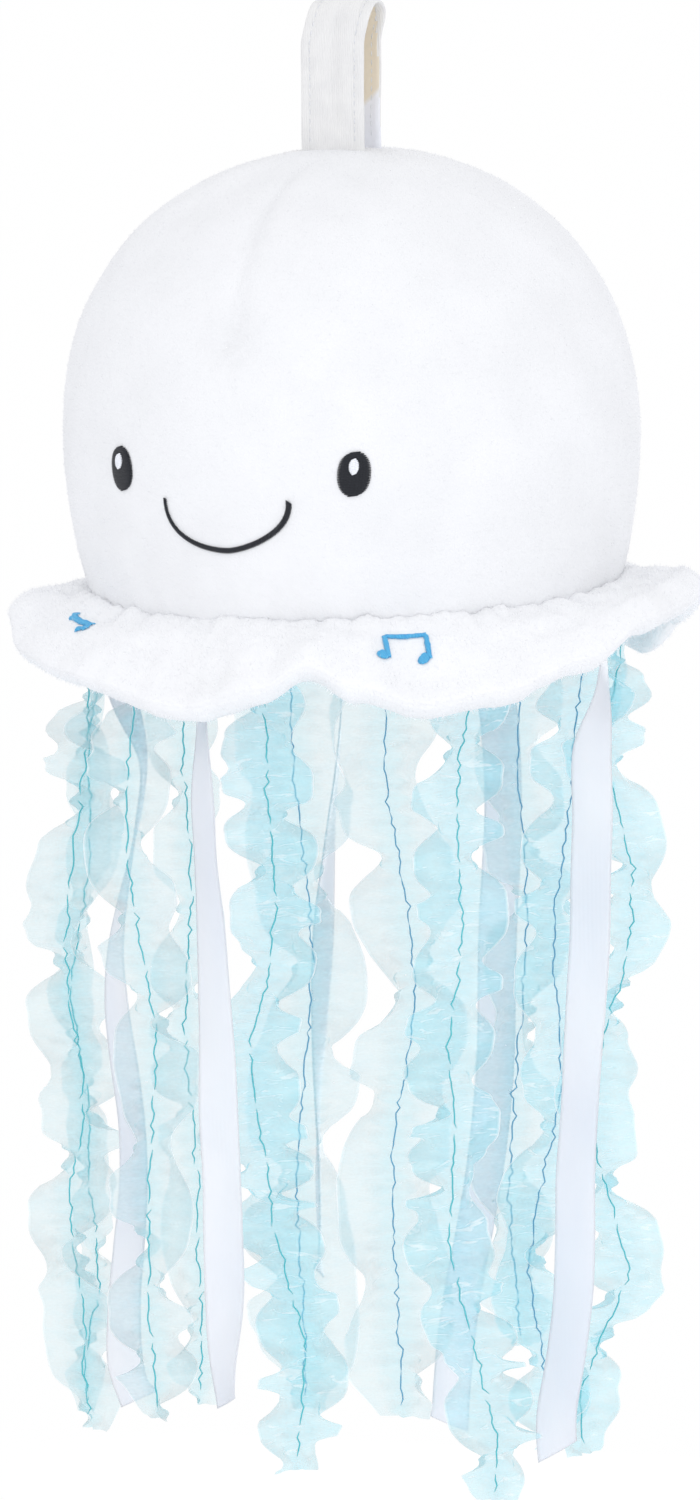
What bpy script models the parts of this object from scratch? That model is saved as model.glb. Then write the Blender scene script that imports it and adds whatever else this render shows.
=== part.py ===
"""Plush jellyfish that hangs from a strap loop.

A stuffed ball head with an embroidered face sits on a wavy plush brim. Gathered organza
tentacles and satin ribbons hang in a ring from the seam under the brim. Metres, +Z up, the
face looks along -Y. The origin is the inside top of the loop, where a hook bears.
"""

import math

import bmesh
import bpy
from mathutils import Vector

# Gap left between pieces that touch on the real toy
CLEARANCE = 0.0003

# Head: a ball, rounder above its widest circle than below it
HEAD_RADIUS = 0.0857
CROWN_HEIGHT = 0.084
CHEEK_DEPTH = 0.117
CROWN_FULLNESS = 2.17
HEAD_DROP = 0.0485
PLUSH_WALL = 0.0012
HEAD_SEGMENTS = 40
CROWN_RINGS = 8
CHEEK_RINGS = 3
DART_DEPTH = 0.0009
DART_LENGTH = 0.055
DART_NARROWNESS = 40

# Closing panel under the head, bulged by the stuffing
PANEL_RIM = 0.004
PANEL_WALL = 0.0015
PANEL_BULGE = 0.007
PANEL_BEND = 0.62

# Hang loop: a folded strap that stands across the crown
LOOP_OPENING = 0.042
LOOP_WIDTH = 0.0205
LOOP_GAP = 0.0100
STRAP_WALL = 0.0016
LOOP_ARC_STEPS = 6

# Face, by angle from the middle of the face and by drop below the widest circle
EYE_ANGLE = 25.5
EYE_DROP = 0.002
EYE_WIDTH = 0.0096
EYE_HEIGHT = 0.0126
EYE_STEPS = 14
GLINT_WIDTH = 0.0029
GLINT_HEIGHT = 0.0042
GLINT_RISE = 0.0022
GLINT_STEPS = 8
EYE_TILT = 5
SMILE_MIDDLE = -0.6
SMILE_ANGLE = 13.4
SMILE_END_DROP = 0.0098
SMILE_SAG = 0.0143
SMILE_ROUNDNESS = (1.95, 1.5)
SMILE_STROKE = 0.0016
SMILE_THIN_END = 0.0008
SMILE_STEPS = 14
STITCH_WALL = 0.0007

# Brim: one band of plush, doubled over at its outer edge
BRIM_INNER_HEIGHT = 0.0055
BRIM_TUCK = 0.0010
BRIM_REACH = 0.0195
BRIM_EDGE_RADIUS = 0.0052
BRIM_MIDDLE_WALL = 0.0080
BRIM_CURL = 1.35
BRIM_SEGMENTS = 84
BRIM_SHARES = (0, 0.36, 0.72)
EDGE_DROP = 1.1
EDGE_RETURN = 0.3
# How far the edge droops, as (degrees round from the middle of the face, droop in mm)
BRIM_WAVE = [
    (-163, 19), (-143, 12), (-122, 20), (-102, 15), (-82, 10), (-62, 6), (-48, 13), (-28, 15.5),
    (-4, 22), (9, 16), (17, 9.5), (25, 16), (35, 21.5), (48, 19.5), (64, 13.5), (80, 6),
    (98, 4.5), (114, 5), (128, 15), (143, 27), (160, 19), (178, 11),
]  # fmt: skip

# Embroidered notes on the brim
NOTE_GAP = 0.0005
NOTE_STROKE = 0.0014
NOTE_HEAD = 0.0030
NOTE_STEM = 0.0080
NOTE_SPACING = 0.0115
BEAM_SHARES = (0.06, 0.35, 0.65, 0.94)
BEAMED_ANGLE = 34
SINGLE_ANGLE = -38
SINGLE_LEAN = -90
SINGLE_STEM = 0.0130
NOTE_PLACE = 0.57
NOTE_FLAG = [(0.27, 0), (0.87, -0.4), (1.33, -1)]
BRIM_SLOPE = 1.3

# Tentacles hang from the seam; they sway and turn towards one common plane
STRIP_LENGTH = 0.275
RIBBON_LENGTH = 0.286
TENTACLE_TAB = 0.006
TAB_HALF_WIDTH = 0.006
SEAM_STEP = 0.0004
COMMON_PLANE = 26
TURN_SHARE = 0.75
TURN_DROP = 0.045
SWAY_STEP = 0.030
KNOT_STEP = 0.019
DEPTH_WANDER = 0.0025
DEPTH_WAVE = 0.114
TURN_WANDER = 10
TURN_WAVE = 0.165
STRIP_SHIFT = 1.7
RIBBON_SHIFT = 2.1
ORGANZA_HALF_WIDTH = 0.0130
ORGANZA_WALL = 0.0004
RUFFLE_DEPTH = 0.0062
ROWS_PER_KNOT = 3
LOBE_CHANGE = 0.14
LOBE_PITCH = 2.3
SWING_CHANGE = 0.22
SWING_PITCH = 1.3
TIP_WIDTH = 0.7
THREAD_RADIUS = 0.00035
RIBBON_WIDTH = 0.012
RIBBON_WALL = 0.0005
RIBBON_POINT = 0.006

# Each organza strip, with lengths in mm: degrees round from the face, how much shorter than
# the longest strip, sideways sway at every SWAY_STEP down
ORGANZA = [
    (5, 29, [0, 0, 0, -1, -8, -4, -3, 4, 1]),
    (49, 16, [0, -4, -4, -5, -11, -8, -11, -6, 0]),
    (109, 11, [0, -5, -5, -1, -3, -11, -12, -5, -17]),
    (139, 1, [0, -7, -10, -11, -14, -15, -20, -24, -22, -22]),
    (165, 26, [0, -2, -2, 0, -3, -6, -7, -9, -9]),
    (192, 0, [0, -7, -11, -9, -5, -5, -12, -14, -13, -12]),
    (219, 4, [0, -3, -3, -1, 0, -2, -5, -7, -7, -7]),
    (245, 10, [0, -3, -5, -6, -7, -7, -6, -9, -7, -7]),
    (285, 23, [0, -5, -8, -9, -12, -10, -14, -9, -13]),
    (300, 24, [0, -5, -7, -9, -12, -11, -15, -9, -13]),
    (330, 37, [0, -3, -3, -3, -1, -1, -1, -5]),
]
# Each satin ribbon: degrees round, how much shorter than the longest ribbon, distance outside
# the seam, turn in degrees, sway
RIBBONS = [
    (-8, 56, 20, 16, [4, 10, 8, 7, 9, 10, 8, 6, 6]),
    (92, 23, 4, -66, [-5, -6, -7, -12, -14, -13, -16, -21, -25]),
    (178, 0, 7, 28, [0, 2, 3, 3, 2, 0, -4, -8, -13, -18]),
    (208, 46, 20, 72, [0, -1, -4, -8, -10, -11, -12, -13, -14]),
    (-45, 41, -9, 60, [0, -2, -4, -6, -7, -8, -9, -10, -11]),
]

CROWN_Z = -LOOP_OPENING
WAIST_Z = CROWN_Z - CROWN_HEIGHT
BASE_Z = WAIST_Z - HEAD_DROP
MM = 0.001


def material(name, colour, roughness):
    """A plain finish; the colour is given as 0-255 screen values."""
    made = bpy.data.materials.new(name)
    made.use_nodes = True
    shader = made.node_tree.nodes["Principled BSDF"]
    linear = [(value / 255) ** 2.2 for value in colour]
    shader.inputs["Base Color"].default_value = (*linear, 1)
    shader.inputs["Roughness"].default_value = roughness
    shader.inputs["Metallic"].default_value = 0
    return made


def add_mesh(name, points, faces, finish, wall=0.0, smooth=True):
    """An object from points and faces; a wall thickens an open sheet about its middle."""
    mesh = bpy.data.meshes.new(name)
    mesh.from_pydata([tuple(point) for point in points], [], faces)
    work = bmesh.new()
    work.from_mesh(mesh)
    bmesh.ops.recalc_face_normals(work, faces=work.faces)
    work.to_mesh(mesh)
    work.free()
    mesh.materials.append(finish)
    if smooth:
        mesh.shade_smooth()
        mesh.set_sharp_from_angle(angle=math.radians(50))
    made = bpy.data.objects.new(name, mesh)
    bpy.context.scene.collection.objects.link(made)
    if wall:
        thicken = made.modifiers.new("Wall", "SOLIDIFY")
        thicken.thickness = wall
        thicken.offset = 0
    return made


def grid_faces(rows, columns, triangles=False):
    """Faces of a grid of points stored row by row."""
    faces = []
    for row in range(rows - 1):
        for column in range(columns - 1):
            a = row * columns + column
            b, c, d = a + 1, a + columns + 1, a + columns
            faces += [(a, b, c), (a, c, d)] if triangles else [(a, b, c, d)]
    return faces


def around(angle, radius, z):
    """A point at so many degrees round from the middle of the face."""
    turn = math.radians(angle)
    return Vector((radius * math.sin(turn), -radius * math.cos(turn), z))


def turned(profile, segments, shape=None, closed=True):
    """Points and faces of a profile of (radius, z) turned from the pole it starts on.

    It ends on a second pole, or open at its last radius. shape(point, angle) moves a point.
    """
    points = [Vector((0, 0, profile[0][1]))]
    middle = profile[1:-1] if closed else profile[1:]
    count = len(middle)
    for step in range(segments):
        angle = 360 * step / segments
        ring = [around(angle, r, z) for r, z in middle]
        points += [shape(point, angle) for point in ring] if shape else ring
    if closed:
        points.append(Vector((0, 0, profile[-1][1])))
    faces = []
    for step in range(segments):
        a, b = 1 + step * count, 1 + (step + 1) % segments * count
        faces.append((0, a, b))
        faces += [(a + i, a + i + 1, b + i + 1, b + i) for i in range(count - 1)]
        if closed:
            faces.append((len(points) - 1, b + count - 1, a + count - 1))
    return points, faces


def smooth_step(share):
    share = min(max(share, 0.0), 1.0)
    return share * share * (3 - 2 * share)


def curve_value(values, place):
    """A smooth curve through evenly spaced values, held level past the last one."""
    place = min(max(place, 0.0), len(values) - 1.0)
    index = min(int(place), len(values) - 2)
    share = place - index
    before, after = values[max(index - 1, 0)], values[min(index + 2, len(values) - 1)]
    start, end = values[index], values[index + 1]
    leave, arrive = (end - before) / 2, (after - start) / 2
    cube, square = share**3, share**2
    return (
        (2 * cube - 3 * square + 1) * start
        + (cube - 2 * square + share) * leave
        + (3 * square - 2 * cube) * end
        + (cube - square) * arrive
    )


def head_radius(z):
    """The head's outer radius at a height."""
    height = z - WAIST_Z
    if height < 0:
        return HEAD_RADIUS * math.sqrt(1 - (height / CHEEK_DEPTH) ** 2)
    rise = min(height / CROWN_HEIGHT, 1)
    return HEAD_RADIUS * (1 - rise**CROWN_FULLNESS) ** (1 / CROWN_FULLNESS)


def crown_z(x, y):
    """The height of the crown's surface over a point near the top."""
    out = (math.hypot(x, y) / HEAD_RADIUS) ** CROWN_FULLNESS
    return WAIST_Z + CROWN_HEIGHT * (1 - out) ** (1 / CROWN_FULLNESS)


def head_profile(inset):
    """(radius, z) from the crown to the base, inset from the outer surface."""
    upper, lower = [], []
    for step in range(CROWN_RINGS + 1):
        turn = math.pi / 2 * step / CROWN_RINGS
        out, up = math.sin(turn), max(math.cos(turn), 0.0)
        reach = (out**CROWN_FULLNESS + up**CROWN_FULLNESS) ** (-1 / CROWN_FULLNESS)
        radius = (HEAD_RADIUS - inset) * out * reach
        upper.append((radius, WAIST_Z + (CROWN_HEIGHT - inset) * up * reach))
    for step in range(1, CHEEK_RINGS + 1):
        z = WAIST_Z - HEAD_DROP * step / CHEEK_RINGS
        lower.append((head_radius(z) - inset, z))
    return upper + lower


def dart_depth(angle, z):
    """The sewn dart down the middle of the forehead, deepest halfway along it."""
    along = (CROWN_Z - z) / DART_LENGTH
    across = math.cos(math.radians(min(abs((angle + 180) % 360 - 180), 90))) ** DART_NARROWNESS
    return DART_DEPTH * across * math.sin(math.pi * along) if 0 < along < 1 else 0.0


def darted(point, angle):
    """The point drawn in towards the head's middle by the dart."""
    inward = (Vector((0, 0, WAIST_Z)) - point).normalized()
    return point + inward * dart_depth(angle, point.z)


def build_head(plush, filling):
    """The sewn cover, open at its base, and the stuffing that fills it."""
    middle = head_profile(PLUSH_WALL / 2)
    points, faces = turned(middle, HEAD_SEGMENTS, shape=darted, closed=False)
    add_mesh("head_cover", points, faces, plush, wall=PLUSH_WALL)

    inside = head_profile(PLUSH_WALL + CLEARANCE + DART_DEPTH)
    inside = inside[0:1] + inside[1:CROWN_RINGS:2] + inside[CROWN_RINGS:]
    rim = inside[-1][0]
    inside[-1] = (rim, BASE_Z + CLEARANCE)
    inside += [(rim * PANEL_BEND, BASE_Z - PANEL_BULGE * PANEL_BEND), (0, BASE_Z - PANEL_BULGE)]
    points, faces = turned(inside, HEAD_SEGMENTS // 2)
    add_mesh("head_stuffing", points, faces, filling)


def build_panel(plush):
    """The round panel that closes the base; its turned seam makes a thicker rim."""
    radius = head_radius(BASE_Z)
    bend = radius * PANEL_BEND
    top = BASE_Z - CLEARANCE
    low = top - PANEL_BULGE - CLEARANCE
    bend_top = top + (low - top) * PANEL_BEND
    profile = [
        (0, low),
        (bend, bend_top),
        (radius - PLUSH_WALL, top),
        (radius, top),
        (radius, top - PANEL_RIM),
        (bend, bend_top - (PANEL_WALL + PANEL_RIM) / 2),
        (0, low - PANEL_WALL),
    ]
    points, faces = turned(profile, HEAD_SEGMENTS)
    add_mesh("base_panel", points, faces, plush)


def brim_droop(angle):
    """How far the brim's edge droops at an angle round the head."""
    angle = (angle + 180) % 360 - 180
    wave = BRIM_WAVE
    for index, (end, droop) in enumerate(wave):
        start, before = wave[index - 1]
        if index == 0:
            start -= 360
        if start <= angle < end or (index == 0 and start + 360 <= angle):
            share = ((angle - start) % 360) / (end - start)
            return (before + (droop - before) * (1 - math.cos(math.pi * share)) / 2) * MM
    return wave[-1][1] * MM


def brim_top(angle, share):
    """(radius, z) on the brim's top face, from its seam at 0 to its edge at 1."""
    droop = brim_droop(angle) - BRIM_EDGE_RADIUS
    seam_z = BASE_Z - BRIM_TUCK + BRIM_INNER_HEIGHT
    inner = head_radius(seam_z) + CLEARANCE
    return inner + BRIM_REACH * share, seam_z - droop * share**BRIM_CURL


def brim_section(angle):
    """The closed section of the brim, as (radius, z), going out on top and back below."""
    inner_low = (head_radius(BASE_Z) + CLEARANCE, BASE_Z - BRIM_TUCK)
    above = [brim_top(angle, share) for share in BRIM_SHARES]
    edge_r, edge_z = brim_top(angle, 1.0)
    under = [(r, z - BRIM_MIDDLE_WALL) for r, z in above[1:]]
    edge = [
        (edge_r, edge_z),
        (edge_r + BRIM_EDGE_RADIUS, edge_z - BRIM_EDGE_RADIUS * EDGE_DROP),
        (edge_r - BRIM_EDGE_RADIUS * EDGE_RETURN, edge_z - BRIM_EDGE_RADIUS * (1 + EDGE_DROP)),
    ]
    return above + edge + under[::-1] + [inner_low]


def build_brim(plush):
    """The ruffled band round the base of the head."""
    points = []
    for step in range(BRIM_SEGMENTS):
        angle = 360 * step / BRIM_SEGMENTS
        points += [around(angle, r, z) for r, z in brim_section(angle)]
    count = len(points) // BRIM_SEGMENTS
    faces = []
    for step in range(BRIM_SEGMENTS):
        a, b = step * count, (step + 1) % BRIM_SEGMENTS * count
        for i in range(count):
            j = (i + 1) % count
            faces.append((a + i, a + j, b + j, b + i))
    add_mesh("brim", points, faces, plush)


def build_loop(strap):
    """The hang loop: up the front ply, over the top and down the back ply."""
    bend = (LOOP_GAP + STRAP_WALL) / 2
    top = STRAP_WALL / 2 - bend
    half = LOOP_WIDTH / 2
    across = [-half, 0, half]
    rows = []
    for side in (-1, 1):
        foot = [Vector((x, side * bend, crown_z(x, bend) + CLEARANCE * 2)) for x in across]
        middle = [Vector((x, side * bend, (CROWN_Z + top) / 2)) for x in across]
        rows += [foot, middle] if side < 0 else [middle, foot]
        if side < 0:
            for step in range(LOOP_ARC_STEPS + 1):
                turn = math.pi * step / LOOP_ARC_STEPS
                y, z = -bend * math.cos(turn), top + bend * math.sin(turn)
                rows.append([Vector((x, y, z)) for x in across])
    points = [point for row in rows for point in row]
    add_mesh("hang_loop", points, grid_faces(len(rows), 3), strap, wall=STRAP_WALL)


def on_head(angle, z, height):
    """A point standing off the head's outer surface."""
    return around(angle, head_radius(z) + height, z)


def patch(name, outline, middle, place, low, high, finish):
    """A thin closed pad; place(point, height) puts it on the surface that carries it."""
    points = []
    for height in (low, high):
        points += [place(point, height) for point in [middle, *outline]]
    count = len(outline)
    faces = []
    for i in range(count):
        a, b = 1 + i, 1 + (i + 1) % count
        c, d = count + 1 + a, count + 1 + b
        faces += [(0, b, a), (count + 1, c, d), (a, b, d, c)]
    return add_mesh(name, points, faces, finish)


def oval(centre, width, height, steps, tilt=0.0):
    """Points round an ellipse on a flat plane of sideways and upward distances."""
    lean = math.radians(tilt)
    points = []
    for step in range(steps):
        turn = math.tau * step / steps
        across, up = width / 2 * math.cos(turn), height / 2 * math.sin(turn)
        x = centre[0] + across * math.cos(lean) - up * math.sin(lean)
        points.append((x, centre[1] + across * math.sin(lean) + up * math.cos(lean)))
    return points


def stroke(name, path, left, right, place, low, high, finish):
    """A thin closed band along a path, with its own width to each side of every point."""
    rows = []
    for index, point in enumerate(path):
        before, after = path[max(index - 1, 0)], path[min(index + 1, len(path) - 1)]
        along = Vector((after[0] - before[0], after[1] - before[1])).normalized()
        side = Vector((-along.y, along.x))
        a = Vector(point) + side * left[index]
        b = Vector(point) - side * right[index]
        rows.append([place(a, low), place(b, low), place(b, high), place(a, high)])
    points = [point for row in rows for point in row]
    faces = [(0, 3, 2, 1)]
    for row in range(len(rows) - 1):
        a, b = row * 4, row * 4 + 4
        faces += [(a + i, a + (i + 1) % 4, b + (i + 1) % 4, b + i) for i in range(4)]
    last = len(points) - 4
    faces.append((last, last + 1, last + 2, last + 3))
    return add_mesh(name, points, faces, finish, smooth=False)


def head_place(angle, drop):
    """Puts flat sideways and upward distances on the head round a point of the face."""

    def place(point, height):
        z = WAIST_Z - drop + point[1]
        return on_head(angle + math.degrees(point[0] / head_radius(z)), z, height)

    return place


def build_face(black, white):
    """Two embroidered eyes with their glints, and the smile."""
    low, high = CLEARANCE, CLEARANCE + STITCH_WALL
    for side, name in ((-1, "left"), (1, "right")):
        place = head_place(side * EYE_ANGLE, EYE_DROP)
        outline = oval((0, 0), EYE_WIDTH, EYE_HEIGHT, EYE_STEPS, tilt=-EYE_TILT * side)
        patch(f"{name}_eye", outline, (0, 0), place, low, high, black)
        centre = (0, GLINT_RISE)
        outline = oval(centre, GLINT_WIDTH, GLINT_HEIGHT, GLINT_STEPS)
        lift = high + CLEARANCE
        patch(f"{name}_eye_glint", outline, centre, place, lift, lift + STITCH_WALL, white)
    place = head_place(SMILE_MIDDLE, SMILE_END_DROP)
    half = math.radians(SMILE_ANGLE) * head_radius(WAIST_Z - SMILE_END_DROP)
    path, width = [], []
    for step in range(SMILE_STEPS + 1):
        share = 2 * step / SMILE_STEPS - 1
        rise = abs(share) ** SMILE_ROUNDNESS[share > 0]
        path.append((half * math.sin(share * math.pi / 2), -SMILE_SAG * (1 - rise)))
        thick = SMILE_THIN_END + (SMILE_STROKE - SMILE_THIN_END) * smooth_step(1 + share)
        width.append(thick / 2)
    stroke("smile", path, width, width, place, low, high, black)


def brim_place(angle, lean):
    """Puts flat distances on the brim's top face, turned by lean, round one angle."""
    turn = math.radians(lean)

    def place(point, height):
        across = point[0] * math.cos(turn) - point[1] * math.sin(turn)
        up = point[0] * math.sin(turn) + point[1] * math.cos(turn)
        share = NOTE_PLACE - up / (BRIM_REACH * BRIM_SLOPE)
        here = angle + math.degrees(across / (head_radius(BASE_Z) + BRIM_REACH * share))
        spot = around(here, *brim_top(here, share))
        ahead = around(here, *brim_top(here, share + 0.05)) - spot
        beside = around(here + 1, *brim_top(here + 1, share)) - spot
        normal = ahead.cross(beside).normalized()
        return spot + (normal if normal.z > 0 else -normal) * height

    return place


def note_ends(foot):
    """The path and widths of a note's head, which lies to the left of its stem's foot."""
    x, y = foot
    thin = NOTE_STROKE / 2
    path = [(x, y + NOTE_HEAD * rise) for rise in (-0.37, -0.13, 0.2, 0.4)]
    left = [NOTE_HEAD / 2, NOTE_HEAD, NOTE_HEAD * 0.9, thin]
    return path, left, [thin / 4, thin, thin, thin]


def build_notes(blue):
    """A beamed pair of notes and a single one, stitched on the brim."""
    low, high = NOTE_GAP, NOTE_GAP + STITCH_WALL
    half, foot, top = NOTE_SPACING / 2, -NOTE_STEM / 2, NOTE_STEM / 2
    thin = NOTE_STROKE / 2
    path, left, right = note_ends((-half, foot))
    beam = [(-half + NOTE_SPACING * share, top) for share in BEAM_SHARES]
    stem = [(-half, 0), (-half, top - thin), *beam, (half, top - thin), (half, 0)]
    end_path, end_left, end_right = note_ends((half, foot))
    path = path + stem + end_path[::-1]
    left = left + [thin] * len(stem) + end_right[::-1]
    right = right + [thin] * len(stem) + end_left[::-1]
    stroke("beamed_notes", path, left, right, brim_place(BEAMED_ANGLE, 0), low, high, blue)

    foot, top = -SINGLE_STEM / 2, SINGLE_STEM / 2
    path, left, right = note_ends((0, foot))
    path += [(0, 0), (0, top - thin)] + [(NOTE_HEAD * x, top + NOTE_HEAD * y) for x, y in NOTE_FLAG]
    left += [thin, thin, thin, thin, thin / 2]
    right += [thin, thin, thin, thin, thin / 2]
    stroke("single_note", path, left, right, brim_place(SINGLE_ANGLE, SINGLE_LEAN), low, high, blue)


def hanging_line(angle, length, sways, outward, turn, wander):
    """Knots down a hanging strip: (middle, width direction, face direction) for each one."""
    seam = head_radius(BASE_Z) + CLEARANCE + SEAM_STEP
    top = BASE_Z - BRIM_TUCK - CLEARANCE - SEAM_STEP * 2
    plane = math.radians(COMMON_PLANE)
    sideways = Vector((math.cos(plane), math.sin(plane), 0))
    count = max(round((length - TENTACLE_TAB) / KNOT_STEP), 2)
    drops = [0.0] + [TENTACLE_TAB + (length - TENTACLE_TAB) * i / count for i in range(count + 1)]
    knots = []
    for drop in drops:
        free = smooth_step((drop - TENTACLE_TAB) / (TURN_DROP - TENTACLE_TAB))
        sway = curve_value(sways, drop / SWAY_STEP) * MM * free
        depth = DEPTH_WANDER * math.sin(math.tau * drop / DEPTH_WAVE + wander) * free
        middle = around(angle, seam + (outward + depth) * free, top - drop) + sideways * sway
        turning = turn + TURN_WANDER * math.sin(math.tau * drop / TURN_WAVE + wander)
        facing = math.radians(angle + turning * free)
        across = Vector((math.cos(facing), math.sin(facing), 0))
        knots.append((middle, across, Vector((math.sin(facing), -math.cos(facing), 0))))
    return knots, drops


def common_turn(angle):
    """The turn that takes a strip most of the way from its seam to the common plane."""
    return TURN_SHARE * ((COMMON_PLANE - angle + 90) % 180 - 90)


def organza_rows(knots, drops, length, wander):
    """Rows of (left edge, middle, right edge) of the gathered strip."""
    rows = []
    count = 0
    for index in range(len(knots) - 1):
        steps = 1 if index == 0 else ROWS_PER_KNOT
        for step in range(steps + (index == len(knots) - 2)):
            share = step / steps
            (a, wide_a, front_a), (b, wide_b, front_b) = knots[index], knots[index + 1]
            middle = a.lerp(b, share)
            wide, front = wide_a.lerp(wide_b, share), front_a.lerp(front_b, share)
            drop = drops[index] + (drops[index + 1] - drops[index]) * share
            open_up = smooth_step((drop - TENTACLE_TAB) / (TURN_DROP - TENTACLE_TAB))
            tip = TIP_WIDTH + (1 - TIP_WIDTH) * smooth_step((length - drop) / KNOT_STEP)
            row = []
            for side in (-1, 1):
                lobe = math.sin(count * LOBE_PITCH + wander + side * STRIP_SHIFT)
                full = ORGANZA_HALF_WIDTH * (1 + LOBE_CHANGE * (lobe - 1)) * tip
                half = TAB_HALF_WIDTH + (full - TAB_HALF_WIDTH) * open_up
                swing = 1 + SWING_CHANGE * (math.sin(count * SWING_PITCH + wander * 2 + side) - 1)
                fold = RUFFLE_DEPTH * swing * open_up * (-1) ** count
                row.append(middle + wide * half * side + front * fold)
            rows.append([row[0], middle, row[1]])
            count += 1
    return rows


def build_organza(sheer, cotton):
    """The gathered organza strips, each with its gathering thread down the middle."""
    for index, (angle, shorter, sways) in enumerate(ORGANZA):
        length, wander = STRIP_LENGTH - shorter * MM, STRIP_SHIFT * index
        knots, drops = hanging_line(angle, length, sways, 0.0, common_turn(angle), wander)
        rows = organza_rows(knots, drops, length, wander)
        points = [point for row in rows for point in row]
        faces = grid_faces(len(rows), 3, triangles=True)
        number = f"{index + 1:02d}"
        add_mesh(f"organza_tentacle_{number}", points, faces, sheer, wall=ORGANZA_WALL)

        stand_off = ORGANZA_WALL / 2 + CLEARANCE * 1.5 + THREAD_RADIUS
        line = bpy.data.curves.new(f"gather_thread_{number}", "CURVE")
        line.dimensions = "3D"
        line.bevel_depth = THREAD_RADIUS
        line.bevel_resolution = 0
        line.use_fill_caps = True
        line.materials.append(cotton)
        run = line.splines.new("POLY")
        run.points.add(len(knots) - 2)
        for spot, (middle, _, front) in zip(run.points, knots[1:]):
            spot.co = (*(middle + front * stand_off), 1)
        made = bpy.data.objects.new(f"gather_thread_{number}", line)
        bpy.context.scene.collection.objects.link(made)


def build_ribbons(satin):
    """The plain satin ribbons, cut to a slant at their ends."""
    for index, (angle, shorter, outward, turn, sways) in enumerate(RIBBONS):
        length, wander = RIBBON_LENGTH - shorter * MM, RIBBON_SHIFT * index
        knots, _ = hanging_line(angle, length, sways, outward * MM, turn, wander)
        points = []
        for place, (middle, across, _) in enumerate(knots):
            slant = Vector((0, 0, RIBBON_POINT)) if place == len(knots) - 1 else Vector()
            half = across * RIBBON_WIDTH / 2
            points += [middle - half, middle + half + slant]
        faces = grid_faces(len(knots), 2, triangles=True)
        add_mesh(f"satin_ribbon_{index + 1}", points, faces, satin, wall=RIBBON_WALL)


def build():
    for old in list(bpy.data.objects):
        bpy.data.objects.remove(old, do_unlink=True)
    plush = material("white_plush", (247, 248, 252), 0.95)
    filling = material("fibre_filling", (250, 250, 250), 1.0)
    strap = material("strap_cloth", (236, 236, 236), 0.85)
    black = material("black_stitching", (41, 45, 54), 0.6)
    white = material("white_stitching", (248, 248, 250), 0.6)
    blue = material("blue_stitching", (83, 193, 232), 0.6)
    sheer = material("aqua_organza", (208, 236, 244), 0.35)
    cotton = material("teal_thread", (90, 190, 200), 0.7)
    satin = material("white_satin", (234, 242, 251), 0.3)
    build_head(plush, filling)
    build_panel(plush)
    build_brim(plush)
    build_loop(strap)
    build_face(black, white)
    build_notes(blue)
    build_organza(sheer, cotton)
    build_ribbons(satin)


build()
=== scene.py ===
# %% [markdown]
# # A plush jellyfish in organza
# This lesson dresses a finished solid model of a hanging soft toy: a stuffed ball head on a wavy
# plush brim, a strap loop on its crown, and a curtain of gathered organza and satin ribbons.
# The solids already have the right size and place. Each step below adds one real piece on them,
# with its own form, finish and sewing.

# %% Load the solids
import bisect
import math
import random

import bpy
from mathutils import Matrix, Quaternion, Vector, noise
from mathutils.bvhtree import BVHTree


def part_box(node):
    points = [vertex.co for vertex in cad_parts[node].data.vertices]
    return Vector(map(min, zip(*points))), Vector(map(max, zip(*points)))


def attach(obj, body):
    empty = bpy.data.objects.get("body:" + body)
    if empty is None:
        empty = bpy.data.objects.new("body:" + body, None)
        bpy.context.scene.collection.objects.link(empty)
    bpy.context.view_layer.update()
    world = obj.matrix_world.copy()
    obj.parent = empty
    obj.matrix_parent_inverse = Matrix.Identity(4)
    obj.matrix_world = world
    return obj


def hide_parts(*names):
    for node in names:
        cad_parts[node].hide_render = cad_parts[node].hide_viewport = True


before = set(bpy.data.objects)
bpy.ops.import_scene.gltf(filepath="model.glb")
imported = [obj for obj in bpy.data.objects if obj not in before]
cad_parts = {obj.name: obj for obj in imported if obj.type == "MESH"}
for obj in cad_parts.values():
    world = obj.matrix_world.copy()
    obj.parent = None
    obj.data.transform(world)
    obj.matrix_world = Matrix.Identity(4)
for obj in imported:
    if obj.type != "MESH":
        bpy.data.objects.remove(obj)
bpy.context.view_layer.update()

MM = 0.001

# %% [markdown]
# ## Small tools
# Every piece here is cloth or thread, so a few helpers do most of the making. One turns points
# and faces into a piece. Another says that a piece belongs to the toy and which plain solids it
# stands for. The rest are short curves that many steps share.


# %% Pieces from points
def new_mesh(name, points, faces, finishes):
    """A smooth mesh with its finishes."""
    mesh = bpy.data.meshes.new(name)
    mesh.from_pydata([tuple(point) for point in points], [], faces)
    for finish in finishes:
        mesh.materials.append(finish)
    mesh.shade_smooth()
    return mesh


def add_object(name, data):
    thing = bpy.data.objects.new(name, data)
    bpy.context.scene.collection.objects.link(thing)
    return thing


def add_piece(name, points, faces, finishes):
    """A piece made of a mesh. All its faces start with the first finish."""
    print(name, "has", len(faces), "faces")
    return add_object(name, new_mesh(name, points, faces, finishes))


def belongs(piece, slot, *nodes):
    """The piece hangs with the toy and stands for these solids; slot is not used."""
    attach(piece, "root")
    if nodes:
        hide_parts(*nodes)


def mark_edges(piece, columns):
    """Stores how far each point lies from the middle of its row, 0 to 1, for the finish."""
    layer = piece.data.uv_layers.new(name="across")
    for loop in piece.data.loops:
        column = loop.vertex_index % columns
        layer.data[loop.index].uv = (abs(2 * column / (columns - 1) - 1), 0)


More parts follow.
